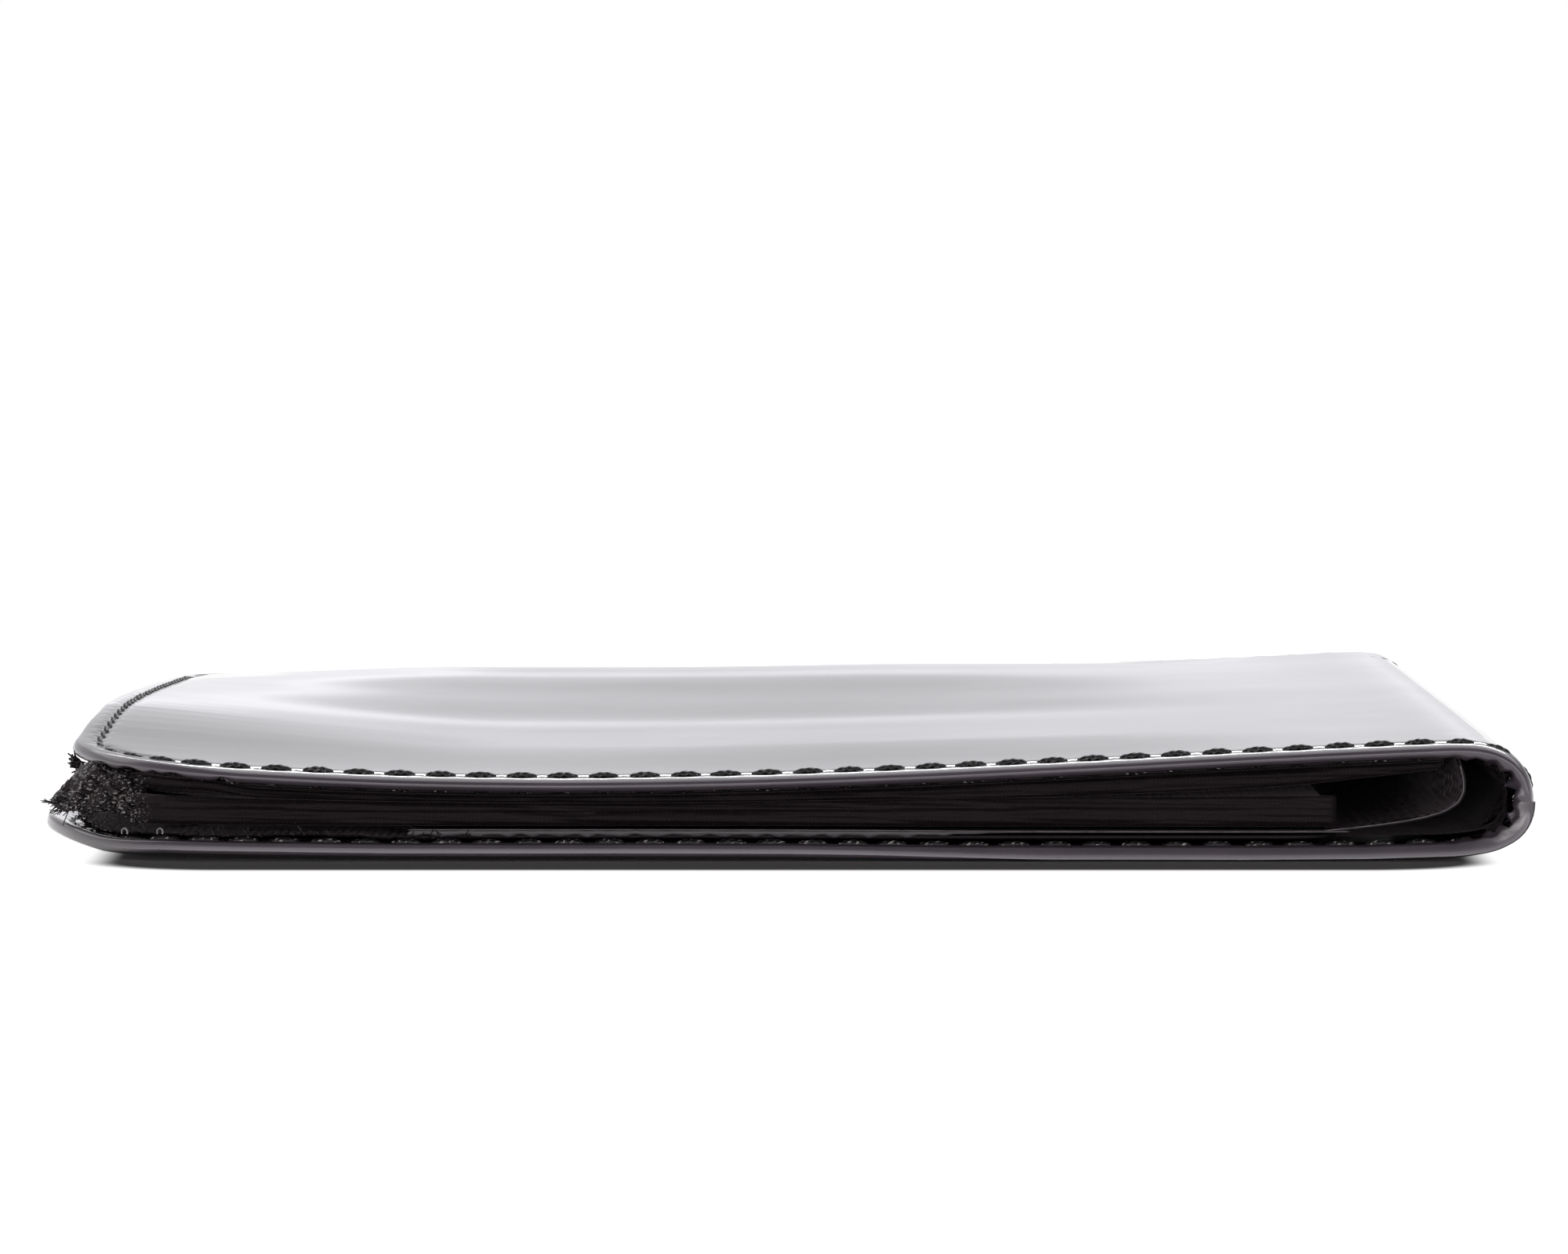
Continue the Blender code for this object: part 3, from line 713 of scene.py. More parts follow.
def cover_relief(half, border, count, turn):
    """The dents that count stitches make in a cover's rim. The section's first turn points face out."""
    pitch = border.length / count
    strength = rng.uniform(0.75, 1.25, count + 1)
    wave_starts = rng.uniform(0, 2 * math.pi, len(RIM_WAVE_LENGTHS))

    def dents(along, inset):
        phase = along / pitch
        hole = np.clip(np.round(phase), 0, count).astype(int)
        middle = np.clip(np.floor(phase), 0, count - 1).astype(int)
        pit = hump(inset - STITCH_INSET + 0.05, 0.36) * hump((phase - hole) * pitch, 0.42)
        dip = hump(inset - 1.25, 0.35) * (0.5 - 0.5 * np.cos(2 * math.pi * phase))
        return STITCH_PIT * strength[hole] * pit + STITCH_DIP * strength[middle] * dip

    def pleats(along, inset):
        found = sum(hump(along - border.straight - place, width) for place, width in PLEATS)
        return PLEAT_SHARE * np.minimum(found, 1) * ramp(inset, 2.2, 1.0)

    def wrinkles(along, inset):
        crumple = np.sin(4.1 * along + 1.3 * inset) + 0.7 * np.sin(2.3 * along - 2.1 * inset + 1) + 1.2
        return SPINE_WRINKLE * crumple * ramp(along, SPINE_WRINKLE_LENGTH, 0) * hump(inset - 1.3, 1.1)

    def relief(along, inset, depth):
        dent = dents(along, inset)
        seat = hump(inset - STITCH_INSET, 0.42) * (1 + 1.6 * tightness(border, along, inset))
        open_side = past_corner(border, along, 0, 6)
        outer = depth * (1 - RIM_FULLNESS * open_side * ramp(inset, 0, 0.3))
        outer = outer + half.seat * seat + dent * half.dents * (1 - 0.5 * open_side)
        inner = depth - 0.7 * (0.1 * seat + dent) + wrinkles(along, inset)
        faces_out = np.arange(inset.shape[1]) < turn
        if half.side > 0:
            inner = inner - pleats(along, inset) * np.maximum(depth - EDGE_DROP, 0)
        else:
            inset = lean_back(border, along, inset, depth, faces_out)
        slow = sum(np.sin(along / length + start) for length, start in zip(RIM_WAVE_LENGTHS, wave_starts))
        return inset + RIM_WAVE * slow * hump(inset, 1.2), np.where(faces_out, outer, inner)

    return relief


def cover_section(half):
    """A cover's turned edge, from its face round its rim to the hem inside, and how many points face out."""
    insets = (8.4, 6.6, 5.0, 3.8, 3.0, 2.5, 2.2, 1.95, 1.7, 1.45, 1.2)
    outer = [(inset, 0.0) for inset in insets if inset > half.edge_reach]
    outer += rounding(half.edge_reach, EDGE_DROP, half.edge_power, 11)
    inner = rounding(0.5, COVER_EDGE - EDGE_DROP, half.edge_power, 4)[::-1][1:]
    inner = [(inset, COVER_EDGE - drop) for inset, drop in inner]
    inner += [(inset, COVER_EDGE) for inset in (0.9, 1.2, 1.45, 1.7, 1.95, 2.2, 2.6, 3.4, 5.0, 6.6, 7.6)]
    step = ((0, COVER_EDGE), (0.03, COVER_LEATHER + 0.1), (0.5, COVER_LEATHER))
    return outer + inner + [(HEM_WIDTH + past, depth) for past, depth in step], len(outer)


def stitches(name, border, surface, count, face_depth, way, rise, rings, sides):
    """A row of twisted stitches on a face of the cover: way is -1 on the outer face and 1 on the inner.

    rise is how far their middles stand off the face. Each is rings of sides points.
    """
    pitch = border.length / count
    t = np.linspace(0, 1, rings)[:, None]
    turn = np.linspace(0, 2 * math.pi, sides, endpoint=False)
    number = np.arange(count)[:, None, None]
    vary = rng.uniform(-1, 1, (5, count, 1, 1))
    length = STITCH_LENGTH + 0.03 * vary[0]
    start = number + 0.5 - length / 2 + 0.02 * vary[1]
    middle = (number + 0.5) * pitch
    tight = TIGHT_AT_FAR_EDGE * tightness(border, middle, STITCH_INSET)
    tight = tight + TIGHT_AT_CORNER * hump(middle - border.straight - 10.5, 5)
    tight = tight + TIGHT_IN_SPINE * ramp(border.from_spine(middle), 10, 0)
    belly = np.sin(math.pi * t) ** 0.36
    thin = STITCH_THINNING * past_corner(border, middle, 8, 16)
    thickness = THREAD / 2 * (1.02 + 0.08 * vary[2] - thin)
    twist = turn - 2 * math.pi * t * length * pitch / TWIST_LEAD + 2 * vary[3]
    strand = abs(np.cos(1.5 * twist))
    radius = thickness * (0.35 + 0.65 * belly) * (1.1 - STRAND_GROOVE * (1 - strand))
    along = (start + length * t) * pitch + np.zeros_like(radius)
    inset = STITCH_INSET + (STITCH_SLANT + 0.1 * vary[4]) * (0.5 - t) + radius * np.cos(turn)
    depth = face_depth + way * (rise * belly - STITCH_SINK - tight + radius * np.sin(turn))
    points = surface(*border.place(along, inset), depth)
    made = tubes(name, points, thread if way < 0 else thread_bright_painted_glints, 80.0)
    # The strand value paints shade in the thread's grooves and a highlight on its crests
    add_values(made, "strand", strand)
    return made


def painted_highlight_share(along, section):
    """How strongly each point of the lower cover's band takes the painted highlight on its hem's edge."""
    inset, depth = np.array(section).T
    edge = 1.6 * hump(depth - PAINTED_HIGHLIGHT_DEPTH - PAINTED_HIGHLIGHT_WAVE * np.sin(3.0 * along), PAINTED_HIGHLIGHT_WIDTH) * (inset < 0.4)
    return np.minimum(hump(along - PAINTED_HIGHLIGHT_PLACE, PAINTED_HIGHLIGHT_LENGTH) * edge, 1)


def bend_at_spine(piece, side):
    """Bakes the placement of a piece that crosses one of the spine's two folds."""
    inside, outside = (X_SPINE * MM, 0, 0), (BEND_END * MM, 0, 0)
    if side > 0:
        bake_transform(piece)
        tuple(outside)
        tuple(inside)
    else:
        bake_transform(piece)
        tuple(inside)
        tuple(outside)


def make_cover(half):
    """A cover half with its two rows of stitches. The lower one's outer row lies flush with its face."""
    border = Border(half.u_open, U_MIDDLE, Y_NEAR, Y_FAR, CORNER_RADIUS, STITCH_INSET)
    count = round(border.length / STITCH_PITCH)
    steps = half.steps * count
    section, turn = cover_section(half)
    surface = cover_surface(half.side)
    relief = cover_relief(half, border, count, turn)
    cover = panel(f"{half.name}_cover", border, steps, section, surface, leather, relief)
    # The lower cover's band gets a painted highlight along its hem's edge inside the spine
    if half.side < 0:
        along = np.linspace(0, border.length, steps + 1)[:, None]
        add_values(cover, "painted_highlight", painted_highlight_share(along, section))
    row = (border, surface, count)
    needle = stitches(f"{half.name}_needle_stitches", *row, half.needle_depth, -1, 0.3, *half.needle_detail)
    bobbin = stitches(f"{half.name}_bobbin_stitches", *row, COVER_EDGE - 0.07, 1, 0.24, 14, 12)
    for piece, slot in ((cover, "cover_leather"), (needle, "sewing_thread"), (bobbin, "sewing_thread")):
        bend_at_spine(piece, half.side)
    return cover, needle, bobbin


lower = make_cover(LOWER)
upper = make_cover(UPPER)
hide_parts("back_cover", "spine_cover")
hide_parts("back_needle_thread", "spine_needle_thread_near", "spine_needle_thread_far")
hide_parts("back_bobbin_thread", "spine_bobbin_thread_near", "spine_bobbin_thread_far")
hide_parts("front_cover")
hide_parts("front_needle_thread")
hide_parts("front_bobbin_thread")

# Plies and linings

LINING = 0.12
INTERLINING = 0.12
SPINE_STAY = 0.2
SPINE_STAY_TURN = 42
PLY_GAP = 0.05
EDGE_GAP = 0.2
PAST_HEM = HEM_WIDTH + EDGE_GAP
INNER_SETBACK = 6.2
INNER_MARGIN = 2.6
INNER_PANEL_LEATHER = 0.28
INNER_PANEL_TO_SPINE = 0.9
SLIP_LEATHER = 0.28
FRONT_SLIP_TO_SPINE = 2.4
FRONT_SLIP_MOUTH = 5.0
BACK_SLIP_TO_SPINE = 5.2
BACK_SLIP_MOUTH = 34.8
CARD_FACE_LEATHER = 0.24
CARD_BACK_FABRIC = 0.08
POCKET_GROOVE = 0.2
CARD_POCKETS = 4
CARD_BLOCK_TO_SPINE = 8.7
CARD_STEP = 11.0
CARD_LIFT_AT_OPEN_END = 0.55
CARD_LIFT_AT_SPINE = 0.12
CREASE_INSET = 1.5

# The edges that the front half's inner plies share
X_INNER = X_OPEN + INNER_SETBACK
Y_INNER = Y_NEAR + INNER_MARGIN
Y_INNER_FAR = Y_FAR - INNER_MARGIN
PLY_CORNER = CORNER_RADIUS - INNER_MARGIN


def place_ply(piece, body, slot, *nodes):
    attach(piece, body)
    if nodes:
        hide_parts(*nodes)


def flat_section(insets, depth, thickness):
    """The edge of a flat layer on the inside of the cover's leather."""
    return [(inset, depth) for inset in insets] + [(inset, depth + thickness) for inset in insets[::-1]]


def layer(name, half, u_end, depth, thickness, look):
    """A flat layer that follows the cover's leather on its inside."""
    corner = CORNER_RADIUS - PAST_HEM
    border = Border(half.u_open + PAST_HEM, u_end, Y_NEAR + PAST_HEM, Y_FAR - PAST_HEM, corner)
    section = flat_section((2.0, 0.6, 0.0), depth, thickness)
    steps = 3 * round(border.length / 4.5)
    return panel(name, border, steps, section, cover_surface(half.side), look, ring_inset=3.0)


def round_edge(thickness, count):
    """(inset, height) points of a thin sheet's half-round edge, from its underside to its top."""
    radius = thickness / 2
    return [(radius * (1 - math.sin(t)), radius * (1 - math.cos(t))) for t in np.linspace(0, math.pi, count)]


def sheet(name, plan, level, thickness, rise, look, fold=0.0, crease=0.0, corner=PLY_CORNER):
    """A thin ply. plan is its x_open, x_end, y_near, y_far, and its underside lies at level.

    rise gives how much higher it lies at each x, y, fold how much its near edge thickens downward,
    and crease how deep a line runs along that edge.
    """
    border = Border(*plan, corner)
    flat = (3.4, 2.6, *(CREASE_INSET + off for off in (0.35, 0.15, 0.0, -0.15, -0.35)), 0.8, 0.45)
    section = [(inset, 0.0) for inset in flat] + round_edge(thickness, 7)
    section += [(inset, thickness) for inset in flat[::-1]]
    below = len(section) / 2

    def surface(x, y, up):
        return np.stack(np.broadcast_arrays(x, y, level + up + rise(x, y)), -1)

    def relief(along, inset, up):
        near = ramp(along, border.straight, border.straight - 3)
        way = np.where(np.arange(inset.shape[1]) < below, 1, -1)
        thicker = fold * ramp(inset, 4.2, 0.2) * (1 - up / thickness)
        return inset, up + near * (way * crease * hump(inset - CREASE_INSET, 0.16) - thicker)

    steps = 3 * round(border.length / 1.8)
    return panel(name, border, steps, section, surface, look, relief, ring_inset=min(4.2, corner - 0.4))


def card_rise(x, y):
    return lift(x, y, CARD_LIFT_AT_OPEN_END, CARD_LIFT_AT_SPINE)


def make_linings():
    """The linings and interlinings, glued to the inside of the cover's leather, and the spine's board."""
    depth = COVER_LEATHER + PLY_GAP
    for half, lined in ((UPPER, ["front_lining"]), (LOWER, ["back_lining", "spine_lining"])):
        stiffener = layer(f"{half.name}_interlining", half, X_SPINE - 1.0, depth, INTERLINING, board)
        place_ply(stiffener, half.body, "board", f"{half.body}_interlining")
        lining_depth = depth + SPINE_STAY + 2 * PLY_GAP
        lining = layer(f"{half.name}_lining", half, U_MIDDLE, lining_depth, LINING, cloth)
        bend_at_spine(lining, half.side)
        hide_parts(*lined)
    reach = SPINE_ARC * SPINE_STAY_TURN / 90
    border = Border(U_MIDDLE - reach, U_MIDDLE + reach, Y_NEAR + PAST_HEM, Y_FAR - PAST_HEM, 2.6)
    section = flat_section((2.0, 0.0), depth, SPINE_STAY)
    steps = 3 * round(border.length / 3)
    stay = panel("spine_board", border, steps, section, cover_surface(-1), board, ring_inset=2.2)
    place_ply(stay, "spine", "board", "spine_stay")


def make_pockets():
    """The front half's inner panel, slip pocket and card pockets, and the back half's slip pocket."""
    level = WAIST_HEIGHT - COVER_EDGE

    def hang(name, node, to_spine, mouth, gap, thickness, rise, look, *edge):
        """Adds the next ply down, whose near edge lies mouth further in than the panel's."""
        nonlocal level
        level -= gap + thickness
        plan = (X_INNER, X_SPINE - to_spine, Y_INNER + mouth, Y_INNER_FAR)
        slot = "woven_lining" if look == cloth else "inner_leather"
        place_ply(sheet(name, plan, level, thickness, rise, look, *edge), "front", slot, node)

    panel_ply = (PLY_GAP, INNER_PANEL_LEATHER, lift, inner_leather)
    slip_ply = (PLY_GAP, SLIP_LEATHER, lift, inner_leather, 0.08, 0.05)
    hang("inner_panel", "front_inner_panel", INNER_PANEL_TO_SPINE, 0, *panel_ply)
    hang("front_slip", "front_slip_pocket", FRONT_SLIP_TO_SPINE, FRONT_SLIP_MOUTH, *slip_ply)
    gap = POCKET_GROOVE
    for number in range(1, CARD_POCKETS + 1):
        size = (CARD_BLOCK_TO_SPINE, CARD_STEP * (number - 1))
        back_ply = (gap, CARD_BACK_FABRIC, card_rise, cloth)
        face_ply = (PLY_GAP, CARD_FACE_LEATHER, card_rise, inner_leather, 0.12, 0.06)
        hang(f"card_back_{number}", f"card_pocket_{number}_back", *size, *back_ply)
        hang(f"card_face_{number}", f"card_pocket_{number}_face", *size, *face_ply)
        gap = PLY_GAP
    level = COVER_LEATHER + INTERLINING + LINING + 3 * PLY_GAP
    plan = (X_OPEN + PAST_HEM, X_SPINE - BACK_SLIP_TO_SPINE, Y_NEAR + BACK_SLIP_MOUTH, Y_FAR - PAST_HEM)
    edge = (0.0, 0.06, CORNER_RADIUS - PAST_HEM)
    made = sheet("back_slip", plan, level, SLIP_LEATHER, near_rise, inner_leather, *edge)
    place_ply(made, "back", "inner_leather", "back_slip_pocket")


make_linings()
make_pockets()

# The leaf

LEAF_WIDTH = 60.8
LEAF_LEATHER = 0.28
LEAF_BACK_LEATHER = 0.2
LEAF_CLEARANCE = 0.25
LEAF_CORNER = 3.0
WINDOW_FILM = 0.08
WINDOW_WIDTH = 47.0
WINDOW_HEIGHT = 78.0
WINDOW_CORNER = 4.0
HINGE_TO_SPINE = 0.45
HINGE_BEND_LENGTH = 7.2
HINGE_BEND_Z = (6.7, 5.0)
LEAF_RISE_SHARE = 0.4
STRIP_FLARE = 1.3
STRIP_FLARE_DEPTH = 8.0
STRIP_FLARE_TOP_Z = (6.9, 5.2)
STRIP_FLARE_LOW_Z = (2.2, 4.2)
X_HINGE = X_SPINE - HINGE_TO_SPINE - HINGE_BEND_LENGTH
X_FREE = X_HINGE - LEAF_WIDTH

# The line sewn round the leaf's edge and its window, as insets and depths
LEAF_SEAM = ((0.9, 0.0), (1.3, 0.05), (1.5, 0.07), (1.7, 0.05), (2.1, 0.0))

# The hinge strip's line from its sewn top down and round to the leaf, as distances from X_SPINE and heights
STRIP_LINE = (
    (-0.1, 6.85), (0.2, 6.1), (0.55, 5.2), (0.65, 4.3), (0.35, 3.55), (-0.6, 3.0), (-1.9, 2.66),
    (-3.4, 2.4), (-5.2, 2.14), (-7.2, 1.92), (-8.6, 1.8),
)


def leaf_rise(x, y):
    return LEAF_RISE_SHARE * near_rise(x, y)


def round_rect(plan, corner, inset, across=30, round_steps=6):
    """Points round a rectangle with round corners, inset inside its x_low, x_high, y_low and y_high."""
    x_low, x_high, y_low, y_high = plan
    low, high = (x_low + corner, y_low + corner), (x_high - corner, y_high - corner)
    centres = np.array((high, (low[0], high[1]), low, (high[0], low[1])))
    part = np.arange(1, across)[:, None] / across
    found = []
    for quarter, (centre, after) in enumerate(zip(centres, np.roll(centres, -1, axis=0))):
        turns = math.pi / 2 * (quarter + np.arange(round_steps + 1) / round_steps)
        arc = centre + (corner - inset) * np.stack([np.cos(turns), np.sin(turns)], -1)
        found += [arc, arc[-1] + (after - centre) * part]
    return np.concatenate(found)


def leaf_frame(plan, window, level):
    """The leaf's front leather: a flat frame with a turned edge outside and round its window."""
    edge = [(0.9, 0.0), (0.5, 0.0), *round_edge(LEAF_LEATHER, 6), (0.5, LEAF_LEATHER)]
    edge += [(inset, LEAF_LEATHER - depth) for inset, depth in LEAF_SEAM]
    loops = [(round_rect(plan, LEAF_CORNER, inset), up) for inset, up in edge]
    loops += [(round_rect(window, WINDOW_CORNER, -inset), up) for inset, up in edge[::-1]]
    verts = []
    for ring, up in loops:
        x, y = ring.T
        verts.append(np.stack([x, y, level + up + leaf_rise(x, y)], -1))
    faces = skin(len(verts), len(verts[0]), closed=True)
    return link("leaf_front", np.concatenate(verts), faces, inner_leather)


def make_leaf():
    x_middle, y_middle = (X_FREE + X_HINGE) / 2, (Y_NEAR + Y_FAR) / 2
    half_x, half_y = WINDOW_WIDTH / 2, WINDOW_HEIGHT / 2
    plan = (X_FREE, X_HINGE, Y_INNER, Y_INNER_FAR)
    window = (x_middle - half_x, x_middle + half_x, y_middle - half_y, y_middle + half_y)
    level = COVER_EDGE + LEAF_CLEARANCE
    place_ply(leaf_frame(plan, window, level), "leaf", "inner_leather", "leaf_frame")
    level += LEAF_LEATHER + PLY_GAP + WINDOW_FILM + PLY_GAP
    back = sheet("leaf_rear", plan, level, LEAF_BACK_LEATHER, leaf_rise, inner_leather, corner=LEAF_CORNER)
    place_ply(back, "leaf", "inner_leather", "leaf_back")


def unit(vectors):
    return vectors / np.linalg.norm(vectors, axis=-1, keepdims=True)


def smoothed(line, times):
    """A line of points with its bends rounded off and its ends kept."""
    for _ in range(times):
        line = np.concatenate([line[:1], (line[:-2] + 2 * line[1:-1] + line[2:]) / 4, line[-1:]])
    return line


def ribbon(name, line, widths, y_near, y_far, look, steps_across=12):
    """A strip along a line of (x, z) points, from y_near to y_far. widths are its reach to either side."""
    line = smoothed(np.array(line), 2)
    along = np.linspace(0, len(line) - 1, 6 * (len(line) - 1) + 1)
    line = smoothed(np.stack([np.interp(along, np.arange(len(line)), part) for part in line.T], -1), 4)
    middle, edge = (widths[1] - widths[0]) / 2, (widths[0] + widths[1]) / 2
    y_last = y_far - 2 * edge
    flat = [*np.linspace(y_near + 2 * edge, min(y_near + STRIP_FLARE_DEPTH, y_last), steps_across)]
    if y_far > y_near + 2 * STRIP_FLARE_DEPTH:
        flat += [*np.linspace(y_near + 1.5 * STRIP_FLARE_DEPTH, y_last, steps_across)]
    rows = [(y_near, 0.0), (y_near + 0.3 * edge, 0.7)]
    rows += [(y, 1.0) for y in (y_near + edge, *flat, y_far - edge)]
    rows += [(y_far - 0.3 * edge, 0.7), (y_far, 0.0)]
    y, share = np.array(rows + [(y, -share) for y, share in rows[-2:0:-1]]).T
    x, z = line.T[:, :, None]
    along_x, along_z = unit(np.gradient(line, axis=0)).T[:, :, None]
    off = middle + edge * share
    flare = STRIP_FLARE * ramp(y, Y_INNER, Y_INNER + STRIP_FLARE_DEPTH)
    flare = flare * ramp(z, *STRIP_FLARE_LOW_Z) * ramp(z, *STRIP_FLARE_TOP_Z)
    points = np.stack(np.broadcast_arrays(x - along_z * off - flare, y, z + along_x * off), -1)
    return tubes(name, [points], look)


def make_hinge_strip():
    """The strip that holds the leaf: leather outside, cloth inside, and a pale cut edge."""
    line = [(X_SPINE + x, z) for x, z in STRIP_LINE]
    outer = ribbon("leaf_strip", line, (0.05, 0.15), Y_INNER, Y_INNER_FAR, inner_leather)
    inner = ribbon("leaf_strip_lining", line, (0.2, -0.08), Y_INNER + 0.15, Y_INNER_FAR - 0.15, strip_cloth_painted_light_and_shade)
    edge = ribbon("leaf_strip_edge", line[1:], (0.08, 0.0), Y_INNER - 0.12, Y_INNER + 0.25, cut_edge, 3)
    top, low = ((X_SPINE * MM, 0, z * MM) for z in HINGE_BEND_Z)
    for piece in (outer, inner, edge):
        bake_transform(piece)
        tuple(top)
        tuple(low)
    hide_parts("leaf_hinge_strip")


make_leaf()
make_hinge_strip()

# Bound edges, the leaf's edge and the frayed corner

# The bindings: how thick the upper one hangs at each x, how far in they reach and how they lie
UPPER_BINDING_X = (-43.0, -30.0, -14.0, 0.0, 21.0, 34.0, 37.5, 41.0, 43.2)
UPPER_BINDING = (0.85, 0.62, 0.47, 0.78, 1.18, 1.28, 1.1, 0.6, 0.3)
UPPER_BINDING_DEPTH = 4.1
UPPER_BINDING_LIFT = 0.33
UPPER_BINDING_LIFT_X = (-34, -38)
UPPER_CRINKLE = 0.055
LOWER_CRINKLE = 0.06
LOWER_BINDING_DEPTH = 9.4
LOWER_BINDING_LIP = 0.45
LOWER_BINDING_BASE = 2.1
CARD_TOP = 3.66
CARD_TOP_RISE = 0.24
CARD_TOP_RISE_X = (-12, 18)
CARD_FACE_BASE = 3.1
BAND_SET_BACK = 1.3
BAND_SET_BACK_LENGTH = 3.5

# The leaf edge's top, its underside and its scallops' height, towards the open end and towards the hinge
LEAF_EDGE_TOP = (1.87, 1.81)
LEAF_EDGE_LOW = (1.31, 1.69)
LEAF_EDGE_CHANGE_X = (7, 16)
SCALLOP = 0.17
LEAF_LINE = 0.07

# The frayed bundle at the open end: its middle height, half its height and half its depth at each x
FRAY_X = (-48.0, -47.7, -47.2, -46.6, -46.0, -45.3, -44.2, -43.0, -41.8)
FRAY_MIDDLE = (3.45, 3.52, 3.65, 3.85, 4.2, 4.45, 4.37, 4.15, 3.95)
FRAY_HALF = (0.1, 0.42, 0.7, 1.1, 1.5, 1.7, 1.58, 1.55, 1.55)
FRAY_DEEP = (0.4, 0.9, 1.5, 2.2, 2.7, 3.1, 3.6, 4.0, 4.2)
FRAY_FOLDS = ((0.13, 3, 2.9), (0.11, 7, -4.3), (0.07, 13, 7.1), (0.05, 19, -11.0))
FRAY_Y = -50.2
TUFT_LOW = (-46.1, -49.0, 5.35)
TUFT_HIGH = (-46.75, -48.0, 6.2)
LOOPS_X = (-42.7, -40.4)
LOOPS_Y = -56.2
LOOPS_Z = 1.85
YARN = 0.3
YARN_RELIEF = 0.06
FRAY_YARNS = 120
TUFT_YARNS = 70

# The strip of lining that has crept out over the lower hem at the open end's near corner
CREPT_NEAR = 24.0
CREPT_FAR = 22.0
CREPT_INSET = 2.5
CREPT_INNER = 9.3
CREPT_THICKNESS = 0.12
LOOSE_YARNS = 70
RAGGED = ((0.25, 2.1, 0), (0.16, 5.3, 1), (0.1, 11.0, 0))


def trim(name, shapes, look, body, slot="woven_lining"):
    place_ply(tubes(name, shapes, look), body, slot)


def station(x, y, z):
    """A ring of points at one x."""
    return np.stack(np.broadcast_arrays(x, y, z), -1)


def crinkle(x, s):
    """Shallow folds that run along a binding."""
    waver = 1.1 * np.sin(0.23 * x + 0.7) + 0.6 * np.sin(0.61 * x + 2.0 * s)
    return 0.6 * np.sin(7.0 * s + waver) + 0.4 * np.sin(15.0 * s - 1.3 * waver + 0.37 * x)


def end_taper(x, x_start, x_end, reach=0.35):
    """Pulls a body's ends in, so that they are rounded rather than cut."""
    near = np.minimum(x - x_start, x_end - x) / reach
    return np.sqrt(np.clip(1 - (1 - np.clip(near, 0, 1)) ** 2, 0.04, 1))


def band_front(x, y_front):
    """Where a band's front lies: it turns back beside the frayed corner."""
    return y_front + BAND_SET_BACK * ramp(x, X_INNER + BAND_SET_BACK_LENGTH, X_INNER)


def make_upper_binding():
    """The woven binding that hangs under the inner panel's near edge."""
    x_end = X_SPINE - INNER_PANEL_TO_SPINE
    underside = WAIST_HEIGHT - COVER_EDGE - INNER_PANEL_LEATHER - 2 * PLY_GAP
    turns = np.linspace(-math.pi / 2, math.pi / 2, 25)
    y_back, y_slope = Y_INNER + UPPER_BINDING_DEPTH, Y_INNER + 0.55 * UPPER_BINDING_DEPTH
    rings = []
    for x in np.linspace(X_INNER, x_end, 245):
        thick = smooth_curve(x, UPPER_BINDING_X, UPPER_BINDING) * end_taper(x, X_INNER, x_end)
        top = underside + lift(x, Y_INNER) + UPPER_BINDING_LIFT * ramp(x, *UPPER_BINDING_LIFT_X)
        z = top - thick / 2 + thick / 2 * bowed(np.sin(turns), 0.8)
        y = band_front(x, Y_INNER) + 0.5 * (1 - np.cos(turns) ** 0.7)
        y = y + UPPER_CRINKLE * np.cos(turns) * crinkle(x, z - top)
        back = [(x, y_back, top), (x, y_back, top - 0.4 * thick), (x, y_slope, top - 0.8 * thick)]
        rings.append([*station(x, y, z), *back])
    trim("upper_binding", [rings], bound_cloth, "front")


def make_lower_binding():
    """The woven binding that wraps the card pockets' near edge and hangs below it."""
    x_end = X_SPINE - CARD_BLOCK_TO_SPINE + 0.8
    y_front = Y_INNER - 0.06
    y_inside, y_back = y_front + 0.02, y_front + LOWER_BINDING_DEPTH
    y_slope = y_front + 0.35 * LOWER_BINDING_DEPTH
    turns = np.linspace(-math.pi / 2, math.pi / 2, 29)
    rings = []
    for x in np.linspace(X_INNER, x_end, 225):
        squeeze = end_taper(x, X_INNER, x_end, 0.2)
        rise = card_rise(x, Y_NEAR)
        top = CARD_TOP + rise + CARD_TOP_RISE * ramp(x, *CARD_TOP_RISE_X)
        low = LOWER_BINDING_BASE + leaf_rise(x, Y_NEAR)
        middle, half = (top + low) / 2, (top - low) / 2 * (0.93 + 0.07 * squeeze)
        z = middle + half * bowed(np.sin(turns), 0.85)
        bulge = LOWER_BINDING_LIP * np.cos(turns) ** 0.5 - 0.14 * hump(z - middle - 0.08, 0.1)
        y = band_front(x, y_front) - bulge * squeeze + LOWER_CRINKLE * np.cos(turns) * crinkle(x, z)
        under = CARD_FACE_BASE + rise
        back = [(x, y_inside, top - 0.05), (x, y_inside, under), (x, y_back, under + 0.05)]
        back += [(x, y_back, under - 0.05), (x, y_slope, low + 0.45 * (under - low))]
        rings.append([*station(x, y, z), *back])
    trim("lower_binding", [rings], bound_cloth, "front")


